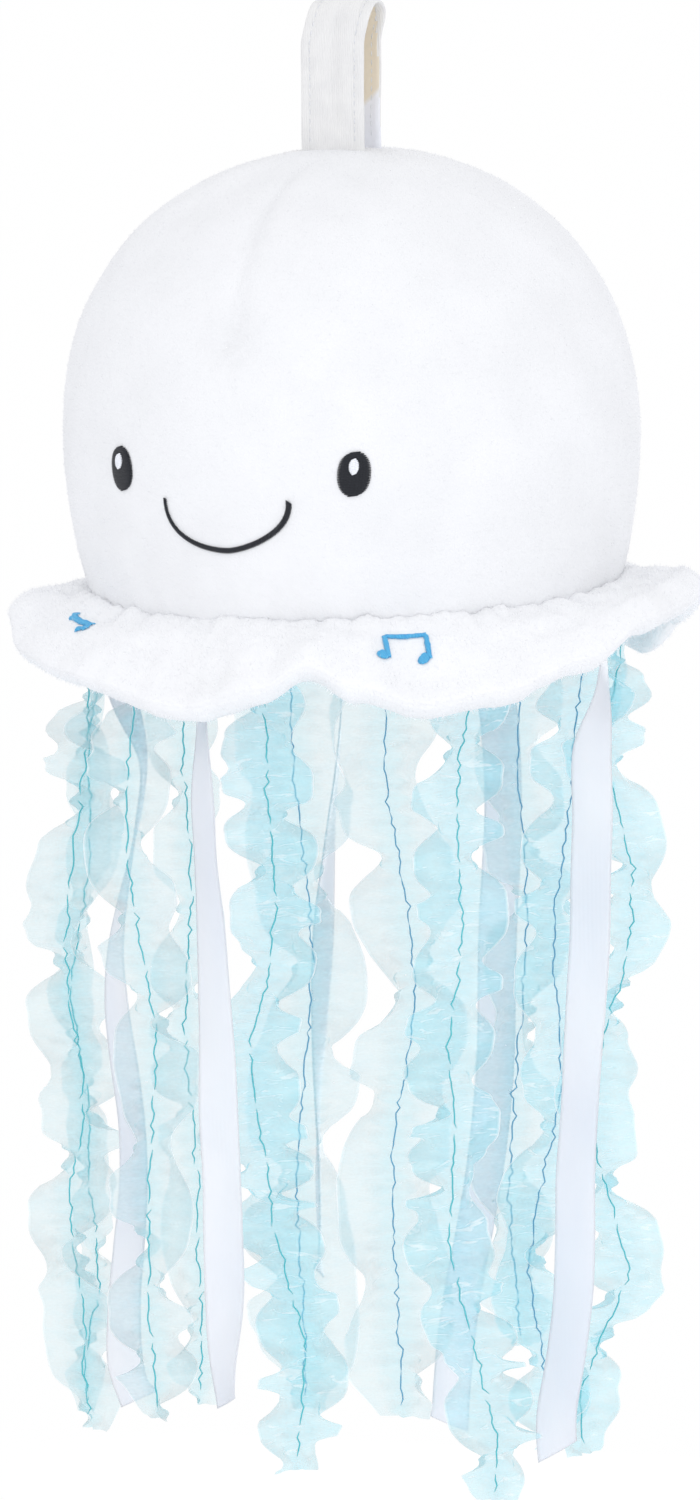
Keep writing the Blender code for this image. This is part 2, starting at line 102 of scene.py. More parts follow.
def grid_faces(rows, columns, round_columns=False):
    """Faces of a grid of points stored row by row."""
    wrap = columns if round_columns else columns - 1
    return [
        (r * columns + c, r * columns + (c + 1) % columns,
         (r + 1) * columns + (c + 1) % columns, (r + 1) * columns + c)
        for r in range(rows - 1) for c in range(wrap)
    ]  # fmt: skip


def pole_faces(rings, columns):
    """Faces round one pole point and then ring by ring below it, which look outward."""
    fan = [(1 + c, 1 + (c + 1) % columns, 0) for c in range(columns)]
    below = grid_faces(rings, columns, round_columns=True)
    return fan + [tuple(1 + corner for corner in face[::-1]) for face in below]


# %% Curves and steps
def smooth_step(share):
    share = min(max(share, 0.0), 1.0)
    return share * share * (3 - 2 * share)


def hump(off, width):
    """A soft hump: 1 in its middle and near 0 at twice its width."""
    return math.exp(-((off / width) ** 2))


def along(values, place):
    """A smooth curve through evenly spaced values, which may be numbers or vectors."""
    place = min(max(place, 0.0), len(values) - 1.0)
    index = min(int(place), len(values) - 2)
    t = place - index
    start, end = values[index], values[index + 1]
    leave = (end - values[max(index - 1, 0)]) / 2
    arrive = (values[min(index + 2, len(values) - 1)] - start) / 2
    curve = start * (2 * t**3 - 3 * t**2 + 1) + end * (3 * t**2 - 2 * t**3)
    return curve + leave * (t**3 - 2 * t**2 + t) + arrive * (t**3 - t**2)


def around(angle, radius, z):
    """A point at so many degrees round from the middle of the face."""
    turn = math.radians(angle)
    return Vector((radius * math.sin(turn), -radius * math.cos(turn), z))


def wander(*place):
    """Smooth noise from -1 to 1 at a place of up to three numbers."""
    return noise.noise(Vector((*place, 0, 0)[:3]))


# %% [markdown]
# ## Threads
# Embroidery, gathering and edge stitching are all thread, so one function lays a round thread
# along a path and tapers its ends, and another makes one piece of many threads. Real tubes
# catch light along each stitch, which a flat decal could not do.


# %% Lay threads
THREAD_SIDES = 6
THREAD_END = 0.35
ANY_SIDE = Vector((0.3, 0.2, 0.93))


def lay_thread(points, faces, path, radius):
    """Adds a closed round thread along a path to the lists of points and faces."""
    first = len(points)
    last = len(path) - 1
    side = None
    for index, spot in enumerate(path):
        ahead = path[min(index + 1, last)] - path[max(index - 1, 0)]
        ahead.normalize()
        if side is None:
            side = ahead.cross(ANY_SIDE).normalized()
        side = (side - ahead * side.dot(ahead)).normalized()
        other = ahead.cross(side)
        thick = radius * (THREAD_END if index in (0, last) else 1.0)
        for step in range(THREAD_SIDES):
            turn = math.tau * step / THREAD_SIDES
            points.append(spot + (side * math.cos(turn) + other * math.sin(turn)) * thick)
    rings = grid_faces(last + 1, THREAD_SIDES, round_columns=True)
    faces += [tuple(first + corner for corner in face) for face in rings]
    far_end = first + last * THREAD_SIDES
    faces.append(tuple(range(first, first + THREAD_SIDES))[::-1])
    faces.append(tuple(range(far_end, far_end + THREAD_SIDES)))


def sew(name, paths, radius, finish, slot, *nodes):
    """One piece made of a round thread along each path, with what belongs() needs."""
    points, faces = [], []
    for path in paths:
        lay_thread(points, faces, path, radius)
    belongs(add_piece(name, points, faces, [finish]), slot, *nodes)


def stitch_arch(t):
    """How high a stitch arches, 0 at its ends (t = -1 and 1) and 1 at its middle."""
    return 1 - t * t


# %% [markdown]
# ## Finishes
# All finishes are procedural and measured in the toy's own metres, so a weave or a pile has its
# real scale on every piece. A finish has at least two shades and a bump. Colours are written as
# screen values, because that is how a dyer's sample is matched on a monitor.


# %% Finish helpers
def linear(colour):
    """Screen values 0-255 as the linear values a shader takes."""
    return [(v / 255 / 12.92 if v < 11 else ((v / 255 + 0.055) / 1.055) ** 2.4) for v in colour]


def new_finish(name, colour, roughness, sheen=0.0):
    finish = bpy.data.materials.new(name)
    finish.use_nodes = True
    shader = finish.node_tree.nodes["Principled BSDF"]
    shader.inputs["Base Color"].default_value = (*linear(colour), 1)
    shader.inputs["Roughness"].default_value = roughness
    shader.inputs["Sheen Weight"].default_value = sheen
    return finish, finish.node_tree, shader


NOISE, WAVES = "ShaderNodeTexNoise", "ShaderNodeTexWave"


def pattern(tree, kind, scale, stretch=(1, 1, 1), **settings):
    """The output of a texture that repeats so many times a metre, squeezed by stretch."""
    place = tree.nodes.new("ShaderNodeTexCoord")
    mapping = tree.nodes.new("ShaderNodeMapping")
    mapping.inputs["Scale"].default_value = stretch
    texture = tree.nodes.new(kind)
    texture.inputs["Scale"].default_value = scale
    for name, value in settings.items():
        texture.inputs[name].default_value = value
    tree.links.new(place.outputs["Object"], mapping.inputs["Vector"])
    tree.links.new(mapping.outputs["Vector"], texture.inputs["Vector"])
    return texture.outputs[0]


def map_range(tree, value, low, high, to_low=0.0, to_high=1.0):
    """Stretches a value that runs from low to high to another range."""
    spread = tree.nodes.new("ShaderNodeMapRange")
    for name, number in (("From Min", low), ("From Max", high),
                         ("To Min", to_low), ("To Max", to_high)):
        spread.inputs[name].default_value = number
    tree.links.new(value, spread.inputs["Value"])
    return spread.outputs["Result"]


def join_values(tree, operation, first, second, clamp=True):
    """Works out one value from two; the second may also be a plain number."""
    join = tree.nodes.new("ShaderNodeMath")
    join.operation = operation
    join.use_clamp = clamp
    tree.links.new(first, join.inputs[0])
    if isinstance(second, (int, float)):
        join.inputs[1].default_value = second
    else:
        tree.links.new(second, join.inputs[1])
    return join.outputs[0]


# %% Finish helpers for colour, light and bump
def paint_over(tree, shader, share, colour, under=(0, 0, 0)):
    """Blends a colour over those that the shader already has, or over a first one."""
    blend = tree.nodes.new("ShaderNodeMix")
    blend.data_type = "RGBA"
    blend.inputs["A"].default_value = (*linear(under), 1)
    blend.inputs["B"].default_value = (*linear(colour), 1)
    for link in shader.inputs["Base Color"].links:
        tree.links.new(link.from_socket, blend.inputs["A"])
    tree.links.new(share, blend.inputs["Factor"])
    tree.links.new(blend.outputs["Result"], shader.inputs["Base Color"])


def two_shades(tree, shader, first, second, share, low=0.3, high=0.7):
    """Blends two colours where a pattern runs from low to high."""
    paint_over(tree, shader, map_range(tree, share, low, high), second, under=first)


def mix_shaders(tree, share, first, second):
    """Mixes two shaders; the share is a number or the output of a node."""
    mix = tree.nodes.new("ShaderNodeMixShader")
    if isinstance(share, float):
        mix.inputs["Fac"].default_value = share
    else:
        tree.links.new(share, mix.inputs["Fac"])
    tree.links.new(first.outputs[0], mix.inputs[1])
    tree.links.new(second.outputs[0], mix.inputs[2])
    return mix


def light_through(tree, shader, share):
    """Lets a share of the light glow through the cloth in its own colour."""
    through = tree.nodes.new("ShaderNodeBsdfTranslucent")
    tree.links.new(shader.inputs["Base Color"].links[0].from_socket, through.inputs["Color"])
    return mix_shaders(tree, share, shader, through)


def show(tree, last):
    """Makes a shader the one that the material or the world shows."""
    output = next(node for node in tree.nodes if node.type.startswith("OUTPUT"))
    tree.links.new(last.outputs[0], output.inputs["Surface"])


def raise_bump(tree, shader, height, depth, strength=1.0):
    """Adds a bump so many metres deep on top of those the shader already has."""
    bump = tree.nodes.new("ShaderNodeBump")
    bump.inputs["Distance"].default_value = depth
    bump.inputs["Strength"].default_value = strength
    tree.links.new(height, bump.inputs["Height"])
    for link in shader.inputs["Normal"].links:
        tree.links.new(link.from_socket, bump.inputs["Normal"])
    tree.links.new(bump.outputs["Normal"], shader.inputs["Normal"])


# %% Plush, strap and filling
def plush_finish(name, light, shade):
    """White short-pile plush: soft brushed patches over a fine grain of fibre ends."""
    finish, tree, shader = new_finish(name, light, 1.0, sheen=0.12)
    shader.inputs["Specular IOR Level"].default_value = 0.15
    patches = pattern(tree, NOISE, 45, Detail=3.0)
    two_shades(tree, shader, shade, light, patches)
    for grain, depth, strength in ((260, 0.0006, 0.5), (1500, 0.0003, 0.6)):
        raise_bump(tree, shader, pattern(tree, NOISE, grain, Detail=2.0), depth, strength)
    return finish


def strap_finish(name, light, dark):
    """Brushed strap cloth with a fine crosswise weave."""
    finish, tree, shader = new_finish(name, light, 0.9, sheen=0.1)
    two_shades(tree, shader, dark, light, pattern(tree, NOISE, 160, Detail=3.0))
    weave = pattern(tree, WAVES, 420, stretch=(1, 1, 2.2), Distortion=1.5)
    raise_bump(tree, shader, weave, 0.0002, 0.5)
    return finish


BEIGE_END, BEIGE_SLANT = -0.0345, 0.9


def inner_face_finish():
    """The strap's inner face: warm beige above a slanting line, white cloth below it."""
    finish, tree, shader = new_finish("strap_inner_face", (226, 216, 200), 0.9)
    place = tree.nodes.new("ShaderNodeTexCoord")
    split = tree.nodes.new("ShaderNodeSeparateXYZ")
    tree.links.new(place.outputs["Object"], split.inputs["Vector"])
    slant = join_values(tree, "MULTIPLY", split.outputs["X"], -BEIGE_SLANT, clamp=False)
    height = join_values(tree, "ADD", slant, split.outputs["Z"], clamp=False)
    # Warm beige high on the inner face, inside the loop, and white cloth below a slanting line
    two_shades(tree, shader, (236, 238, 244), (229, 220, 203), height,
               BEIGE_END - 1 * MM, BEIGE_END + 1 * MM)
    weave = pattern(tree, NOISE, 900, Detail=2.0)
    raise_bump(tree, shader, weave, 0.0002, 0.5)
    return finish


def filling_finish():
    """Loose polyester fibre, seen only if the cover is opened."""
    finish, tree, shader = new_finish("fibre_filling", (250, 250, 250), 1.0, sheen=0.3)
    clouds = pattern(tree, NOISE, 90, Detail=6.0)
    two_shades(tree, shader, (238, 238, 240), (252, 252, 252), clouds)
    raise_bump(tree, shader, clouds, 0.002, 1.0)
    return finish


plush = plush_finish("white_plush", (237, 238, 240), (232, 233, 235))
# The brim's plush is a lighter copy of the head's: painted light that brightens the brim
lit_brim_plush = plush_finish("white_brim_plush_lit", (242, 243, 245), (237, 238, 240))
strap = strap_finish("strap_cloth", (233, 233, 232), (225, 225, 225))
inner_face = inner_face_finish()
filling = filling_finish()


# %% Embroidery and sewing thread
def thread_finish(name, colour, shade, roughness=0.5):
    """Twisted thread: two shades in fine slanting strands."""
    finish, tree, shader = new_finish(name, colour, roughness, sheen=0.2)
    strands = pattern(tree, WAVES, 900, stretch=(1, 1, 1.3), Distortion=2.0)
    two_shades(tree, shader, shade, colour, strands)
    raise_bump(tree, shader, strands, 0.0001, 0.6)
    return finish


black_thread = thread_finish("black_stitching", (30, 34, 44), (16, 19, 27), 0.8)
white_thread = thread_finish("white_stitching", (250, 251, 255), (232, 236, 244), 0.6)
blue_thread = thread_finish("blue_stitching", (104, 204, 240), (30, 140, 208), 0.6)
teal_thread = thread_finish("teal_thread", (96, 204, 210), (64, 176, 190), 0.6)
deep_thread = thread_finish("deep_teal_thread", (110, 176, 206), (84, 152, 190), 0.6)
edge_thread = thread_finish("strap_thread", (236, 237, 240), (206, 209, 215))


# %% Organza and satin
# Painted edge glints and gathered colour, as shares of the way from the thread to the edge
ORGANZA_GLINT_START, GATHER_REACH = 0.93, 0.5
# How much more opaque the cloth is under its painted glints
ORGANZA_GLINT_COVER = 0.38
YARN_GLOW, SATIN_GLOW = 0.5, 0.35
UNEVEN_COVER = 0.12
WHITE = (255, 255, 255)


def organza_finish(name, colour, shade, gathered, cover, glints):
    """Sheer cloth: part of the light passes between its yarns and part glows through them."""
    finish, tree, shader = new_finish(name, colour, 0.30)
    shader.inputs["Specular IOR Level"].default_value = 0.7
    streaks = pattern(tree, NOISE, 60, stretch=(1, 1, 2.6), Detail=3.0)
    two_shades(tree, shader, shade, colour, streaks)
    across = tree.nodes.new("ShaderNodeUVMap")
    split = tree.nodes.new("ShaderNodeSeparateXYZ")
    tree.links.new(across.outputs["UV"], split.inputs["Vector"])
    # Painted highlights: white glints along the free edges and on thin lines across the cloth
    painted_edge_glint = map_range(tree, split.outputs["X"], ORGANZA_GLINT_START, 1.0)
    painted_crease_glint = pattern(tree, NOISE, 110, stretch=(1, 1, 4.5), Detail=1.0, Distortion=1.2)
    painted_crease_glint = map_range(tree, painted_crease_glint, 0.60, 0.70, 0.0, glints)
    shine = join_values(tree, "MAXIMUM", painted_edge_glint, painted_crease_glint)
    near_thread = map_range(tree, split.outputs["X"], 0.0, GATHER_REACH, 1.0, 0.0)
    paint_over(tree, shader, near_thread, gathered)
    paint_over(tree, shader, shine, WHITE)
    weave = pattern(tree, NOISE, 260, stretch=(1, 1, 2.4), Detail=2.0)
    raise_bump(tree, shader, weave, 0.0004, 0.5)
    yarn = light_through(tree, shader, YARN_GLOW)
    density = map_range(tree, weave, 0.0, 1.0, cover - UNEVEN_COVER, cover + UNEVEN_COVER)
    extra = map_range(tree, shine, 0.0, 1.0, 0.0, ORGANZA_GLINT_COVER)
    whole = join_values(tree, "ADD", density, extra)
    gaps = tree.nodes.new("ShaderNodeBsdfTransparent")
    show(tree, mix_shaders(tree, whole, gaps, yarn))
    return finish


def satin_finish():
    """Satin ribbon: a close smooth face with a soft shine along its length."""
    finish, tree, shader = new_finish("white_satin", (247, 248, 252), 0.28)
    shader.inputs["Anisotropic"].default_value = 0.5
    clouds = pattern(tree, NOISE, 40, stretch=(1, 1, 0.4), Detail=2.0)
    two_shades(tree, shader, (240, 243, 249), (249, 250, 253), clouds)
    ribs = pattern(tree, WAVES, 1300, stretch=(0.2, 0.2, 1.0))
    raise_bump(tree, shader, ribs, 0.00005, 0.4)
    show(tree, light_through(tree, shader, SATIN_GLOW))
    return finish


# One organza in two copies: the bright one is deeper in colour and shows many more painted crease
# glints
bright_organza = organza_finish("bright_organza", (182, 243, 253), (164, 238, 251),
                                (140, 232, 248), 0.43, 0.7)
pale_organza = organza_finish("pale_organza", (206, 235, 239), (192, 231, 240),
                              (144, 228, 241), 0.38, 0.05)
satin = satin_finish()
print("finishes:", len(bpy.data.materials))

# %% [markdown]
# ## Pile
# Short-pile plush has no hard outline, because its fibre ends stand off the cloth. Thin blades
# grow from the cloth at even random places, each leaning a little its own way, so the edges of
# the head and the brim turn soft.


# %% Grow the pile
PILE_LEAN = 0.7
PILE_LENGTHS = (0.6, 1.2)


def grow_pile(piece, blades, length, width, seed):
    """Adds thin fibre blades on a piece's own faces."""
    chance = random.Random(seed)
    mesh = piece.data
    points = [vertex.co.copy() for vertex in mesh.vertices]
    faces = [tuple(face.vertices) for face in mesh.polygons]
    reach, total = [], 0.0
    for face in mesh.polygons:
        total += face.area
        reach.append(total)
    for _ in range(blades):
        pick = bisect.bisect(reach, chance.random() * total)
        face = mesh.polygons[min(pick, len(reach) - 1)]
        a, b, c = (points[face.vertices[i]] for i in (0, 1, 2))
        share, other = chance.random(), chance.random()
        root = a + (b - a) * share + (c - b) * other * share
        lean = Vector([chance.uniform(-PILE_LEAN, PILE_LEAN) for _ in range(3)])
        rise = length * chance.uniform(*PILE_LENGTHS)
        tip = root + (face.normal + lean).normalized() * rise
        beside = Vector([chance.uniform(-1, 1) for _ in range(3)])
        side = (tip - root).cross(beside).normalized()
        first = len(points)
        points += [root - side * width / 2, root + side * width / 2, tip]
        faces.append((first, first + 1, first + 2))
    piece.data = new_mesh(mesh.name + "_pile", points, faces, mesh.materials)
    print(piece.name, "grows", blades, "blades")


# %% [markdown]
# ## The head
# The cover is a sewn ball, fuller above its widest circle than below it. A dart runs down the
# forehead from the loop, and its end puckers. A turned outline gives the exact ball, and small
# moves of its points give the stuffing's lumps, the dart and the gathers above the seam.

# %% Head sizes, from the solids
HEAD_LOW, HEAD_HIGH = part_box("head_cover")
HEAD_RADIUS = (HEAD_HIGH.x - HEAD_LOW.x) / 2
CROWN_Z, BASE_Z = HEAD_HIGH.z, HEAD_LOW.z
CROWN_HEIGHT = 0.084
CHEEK_DEPTH = 0.117
CROWN_FULLNESS = 2.17
WAIST_Z = CROWN_Z - CROWN_HEIGHT
DART_LENGTH = 0.050
DART_DEPTH, DART_WIDTH = 0.0015, 0.0028
DART_RIDGE = DART_PUCKER = DART_SWAY = 0.0012
RIDGE_PLACE, RIDGE_WIDTH = 0.006, 0.007
PUCKER_WIDTH, PUCKER_LENGTH = 0.010, 0.14
SEAM_GATHER, SEAM_REACH = 0.0006, 0.022
LUMP = 0.0005
HEAD_STEPS, CROWN_STEPS, CHEEK_STEPS = 192, 64, 30
print("head radius", round(HEAD_RADIUS / MM, 1), "mm")


# %% The head's skin
def head_radius(z):
    """The head's outer radius at a height."""
    height = z - WAIST_Z
    if height < 0:
        return HEAD_RADIUS * math.sqrt(1 - (height / CHEEK_DEPTH) ** 2)
    rise = min(height / CROWN_HEIGHT, 1)
    return HEAD_RADIUS * (1 - rise**CROWN_FULLNESS) ** (1 / CROWN_FULLNESS)


def head_outline():
    """(radius, z) from the crown down to the base."""
    rows = []
    for step in range(CROWN_STEPS + 1):
        turn = math.pi / 2 * step / CROWN_STEPS
        out, up = math.sin(turn), max(math.cos(turn), 0.0)
        reach = (out**CROWN_FULLNESS + up**CROWN_FULLNESS) ** (-1 / CROWN_FULLNESS)
        rows.append((HEAD_RADIUS * out * reach, WAIST_Z + CROWN_HEIGHT * up * reach))
    for step in range(1, CHEEK_STEPS + 1):
        z = WAIST_Z + (BASE_Z - WAIST_Z) * step / CHEEK_STEPS
        rows.append((head_radius(z), z))
    return rows


def skin_move(spot, angle):
    """How far the cloth stands off the even ball: lumps, the dart and the seam's gathers."""
    move = LUMP * (wander(*(spot * 22)) + 0.5 * wander(*(spot * 60)))
    down = (CROWN_Z - spot.z) / DART_LENGTH
    if spot.y < 0 and down < 1.3:
        side = spot.x + DART_SWAY * math.sin(down * 5)
        fade = smooth_step((1.1 - down) / 0.25) * smooth_step(down / 0.1)
        ridge = hump(side - RIDGE_PLACE, RIDGE_WIDTH)
        pucker = hump(side, PUCKER_WIDTH) * hump(down - 1.0, PUCKER_LENGTH)
        move -= DART_DEPTH * hump(side, DART_WIDTH) * fade
        move += DART_RIDGE * ridge * fade
        move -= DART_PUCKER * pucker * (0.5 + wander(spot.x * 300, spot.z * 500))
    near_seam = smooth_step((BASE_Z + SEAM_REACH - spot.z) / 0.020)
    move += SEAM_GATHER * near_seam * wander(angle / 5.0, 3.0)
    return move


def build_head():
    outline = head_outline()
    points = [Vector((0, 0, CROWN_Z))]
    for radius, z in outline[1:]:
        for step in range(HEAD_STEPS):
            angle = 360 * step / HEAD_STEPS
            spot = around(angle, radius, z)
            out = Vector((spot.x, spot.y, spot.z - WAIST_Z)).normalized()
            points.append(spot + out * skin_move(spot, angle))
    return add_piece("head_skin", points, pole_faces(len(outline) - 1, HEAD_STEPS), [plush])


head = build_head()
belongs(head, "plush", "head_cover")
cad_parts["head_stuffing"].data.materials.clear()
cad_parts["head_stuffing"].data.materials.append(filling)


# %% [markdown]
# Anything sewn on the head must lie on its real skin, with its lumps. A ray shot at the skin
# from outside finds the spot and the direction that faces out of it.


# %% Find the skin
def skin_finder(piece):
    mesh = piece.data
    corners = [vertex.co for vertex in mesh.vertices]
    return BVHTree.FromPolygons(corners, [tuple(face.vertices) for face in mesh.polygons])


HEAD_SKIN = skin_finder(head)
HEAD_BLADES, HEAD_PILE, HEAD_FIBRE = 26000, 0.0007, 0.00012
CLEAR_OF_SKIN = 0.03
grow_pile(head, HEAD_BLADES, HEAD_PILE, HEAD_FIBRE, seed=3)


def on_face(angle, drop, across, up, height):
    """A spot so far across and up from a place on the face, standing off its skin."""
    z = WAIST_Z - drop + up
    turn = angle + math.degrees(across / head_radius(z))
    start = around(turn, head_radius(z) + CLEAR_OF_SKIN, z)
    spot, normal, _, _ = HEAD_SKIN.ray_cast(start, around(turn, -1, 0).normalized())
    return spot + normal * height if normal.dot(start) > 0 else spot - normal * height


print("the face's middle is at", [round(v, 4) for v in on_face(0, 0, 0, 0, 0)])

# %% [markdown]
# ## The face
# The eyes are ovals of satin stitch: many threads side by side, each one arched over the pad
# below it. The glints are the same in white, and the smile is one slanting row of short
# stitches. Each thread is laid as a real tube.

# %% Eye sizes
EYE_ANGLE = 25.5
EYE_DROP = 0.002
EYE_WIDTH, EYE_HEIGHT = 0.0096, 0.0126
EYE_TILT, EYE_LIFT = 5, 0.0002
GLINT_WIDTH, GLINT_HEIGHT, GLINT_RISE, GLINT_LIFT = 0.0029, 0.0042, 0.0022, 0.0009
OVAL_FULLNESS = 2.3
PAD_HEIGHT = 0.0006
STITCH_RADIUS = 0.00032
STITCH_STEP = 0.00046
UNEVEN_STITCH, OVAL_SLANT = 0.0001, 0.0003


# %% Sew the eyes
def satin_oval(angle, up_by, width, height, tilt, lift):
    """The threads laid across an oval, up_by above the eye's middle."""
    paths = []
    lean = math.radians(tilt)
    rows = int(height / STITCH_STEP)
    for row in range(rows):
        up = (row + 0.5) / rows * 2 - 1
        half = width / 2 * (1 - abs(up) ** OVAL_FULLNESS) ** (1 / OVAL_FULLNESS)
        half += UNEVEN_STITCH * wander(row * 1.7, 4)
        path = []
        for step in range(9):
            share = step / 4 - 1
            x, y = half * share, up * height / 2 + OVAL_SLANT * share
            across = x * math.cos(lean) - y * math.sin(lean)
            rise = up_by + x * math.sin(lean) + y * math.cos(lean)
            dome = math.sqrt(stitch_arch(share) * stitch_arch(up))
            path.append(on_face(angle, EYE_DROP, across, rise, lift + PAD_HEIGHT * dome))
        paths.append(path)
    return paths


for side, name in ((-1, "left"), (1, "right")):
    angle = side * EYE_ANGLE
    eye = satin_oval(angle, 0, EYE_WIDTH, EYE_HEIGHT, -EYE_TILT * side, EYE_LIFT)
    sew(f"{name}_eye_stitches", eye, STITCH_RADIUS, black_thread, "black_stitching",
        f"{name}_eye")
    glint = satin_oval(angle, GLINT_RISE, GLINT_WIDTH, GLINT_HEIGHT, 0, GLINT_LIFT)
    sew(f"{name}_glint_stitches", glint, STITCH_RADIUS, white_thread, "white_stitching",
        f"{name}_eye_glint")

# %% Sew the smile
SMILE_MIDDLE, SMILE_ANGLE = -0.6, 13.4
SMILE_END_DROP, SMILE_SAG = 0.0098, 0.0143
SMILE_ROUNDNESS = (1.95, 1.5)
SMILE_STROKE, SMILE_THIN_END = 0.0017, 0.0008
SMILE_STITCHES = 96
SMILE_LIFT, SMILE_ARCH = 0.0001, 0.0005
SMILE_LOOK = 0.02
STITCH_SLANT = 0.7
STITCH_TURNS = (-1, -0.5, 0, 0.5, 1)


def smile_spot(share):
    """A spot on the smile's line, share -1 to 1 from end to end."""
    half = math.radians(SMILE_ANGLE) * head_radius(WAIST_Z - SMILE_END_DROP)
    rise = abs(share) ** SMILE_ROUNDNESS[share > 0]
    across, up = half * math.sin(share * math.pi / 2), -SMILE_SAG * (1 - rise)
    return on_face(SMILE_MIDDLE, SMILE_END_DROP, across, up, 0)


def smile_stitches():
    """The slanting stitches of the smile, each a short path across its line."""
    paths = []
    for stitch in range(SMILE_STITCHES):
        share = 2 * stitch / (SMILE_STITCHES - 1) - 1
        here = smile_spot(share)
        if share > 1 - SMILE_LOOK:
            run = here - smile_spot(share - SMILE_LOOK)
        else:
            run = smile_spot(share + SMILE_LOOK) - here
        run.normalize()
        out = Vector((here.x, here.y, 0)).normalized()
        cross = out.cross(run).normalized()
        full = SMILE_THIN_END + (SMILE_STROKE - SMILE_THIN_END) * smooth_step(1 + share)
        half = full / 2 * (1 + 0.12 * wander(stitch * 0.9, 8))
        reach = (cross + run * STITCH_SLANT) * half
        lifts = [SMILE_LIFT + SMILE_ARCH * stitch_arch(t) for t in STITCH_TURNS]
        paths.append([here + reach * t + out * lift for t, lift in zip(STITCH_TURNS, lifts)])
    return paths


sew("smile_stitches", smile_stitches(), STITCH_RADIUS, black_thread, "black_stitching", "smile")

# %% [markdown]
# ## The brim
# The brim is a band of plush doubled over at its edge, gathered into the seam, so it waves up
# and down round the head. Its droop at each angle makes the wave. The section is one closed
# outline, rounded through a few points, and the gathers fade out from the seam.

# %% Brim sizes
BRIM_TUCK = 0.0010
BRIM_INNER_HEIGHT = 0.0055
BRIM_REACH = 0.0195
BRIM_EDGE_RADIUS = 0.0052
BRIM_MIDDLE_WALL = 0.0080
BRIM_CURL = 1.35
BRIM_STEPS, SECTION_STEPS = 420, 4
BRIM_GATHERS, BRIM_LUMPS, BRIM_RIPPLES = 0.0014, 0.0011, 0.0005
BRIM_WAVE = [
    (-163, 19), (-143, 12), (-122, 20), (-102, 15), (-82, 10), (-62, 6), (-48, 13), (-28, 15.5),
    (-4, 22), (9, 16), (17, 9.5), (25, 16), (35, 21.5), (48, 19.5), (64, 13.5), (80, 6),
    (98, 4.5), (114, 5), (128, 15), (143, 27), (160, 19), (178, 11),
]  # fmt: skip
# Folds pressed into the top of the band: angle, depth in mm, width in degrees, share out
BRIM_FOLDS = [
    (-24, 1.6, 3.0, 0.35), (-33, 1.1, 2.5, 0.3), (-8, 0.7, 4.0, 0.3), (14, 0.9, 3.0, 0.3),
    (60, 1.4, 2.5, 0.35), (67, 1.5, 2.2, 0.3), (75, 1.0, 2.5, 0.4), (96, 0.9, 3.0, 0.4),
    (121, 1.4, 3.0, 0.3), (152, 1.2, 3.5, 0.35), (178, 1.0, 3.0, 0.3), (-62, 0.9, 3.0, 0.4),
    (-86, 1.2, 3.0, 0.3), (-112, 1.0, 3.5, 0.4), (-133, 1.4, 3.0, 0.3), (-153, 1.0, 3.0, 0.4),
]  # fmt: skip


# %% The brim's wave and section
def brim_droop(angle):
    """How far the brim's edge droops at an angle round the head, in metres."""
    angle = (angle + 180) % 360 - 180
    for index, (end, droop) in enumerate(BRIM_WAVE):
        start, before = BRIM_WAVE[index - 1]
        if index == 0:
            start -= 360
        if start <= angle < end or (index == 0 and start + 360 <= angle):
            share = ((angle - start) % 360) / (end - start)
            return (before + (droop - before) * (1 - math.cos(math.pi * share)) / 2) * MM
    return BRIM_WAVE[-1][1] * MM


def brim_top(angle, share):
    """(radius, z) on the brim's top face, from its seam at 0 to its edge at 1."""
    droop = brim_droop(angle) - BRIM_EDGE_RADIUS
    seam_z = BASE_Z - BRIM_TUCK + BRIM_INNER_HEIGHT
    return head_radius(seam_z) + BRIM_REACH * share, seam_z - droop * share**BRIM_CURL


def brim_section(angle):
    """Corners of the brim's closed section, as flat vectors of (radius, z)."""
    above = [brim_top(angle, share) for share in (0, 0.36, 0.72)]
    edge_r, edge_z = brim_top(angle, 1.0)
    under = [(r, z - BRIM_MIDDLE_WALL) for r, z in above[1:]]
    edge = [
        (edge_r, edge_z),
        (edge_r + BRIM_EDGE_RADIUS, edge_z - BRIM_EDGE_RADIUS * 1.1),
        (edge_r - BRIM_EDGE_RADIUS * 0.3, edge_z - BRIM_EDGE_RADIUS * 2.1),
    ]
    low = (head_radius(BASE_Z), BASE_Z - BRIM_TUCK)
    return [Vector(corner) for corner in above + edge + under[::-1] + [low]]


def brim_move(angle, share, top):
    """How far the cloth stands off the even section: gathers, folds and soft lumps."""
    gathers = wander(angle / 3.2, 7.0) + 0.5 * wander(angle / 1.3, 2.0)
    move = BRIM_GATHERS * gathers * (1 - smooth_step(share / 0.75)) * smooth_step(share / 0.06)
    move += BRIM_LUMPS * wander(angle / 9.0, share * 3, 5.0)
    move += BRIM_RIPPLES * wander(angle / 3.0, share * 6, 1.0)
    if top:
        for fold, depth, width, reach in BRIM_FOLDS:
            off = (angle - fold + 180) % 360 - 180
            if abs(off) < width * 3:
                fade = math.exp(-((share - reach * 0.5) / reach) ** 2 * 1.5)
                move -= depth * MM * hump(off, width) * fade
    return move


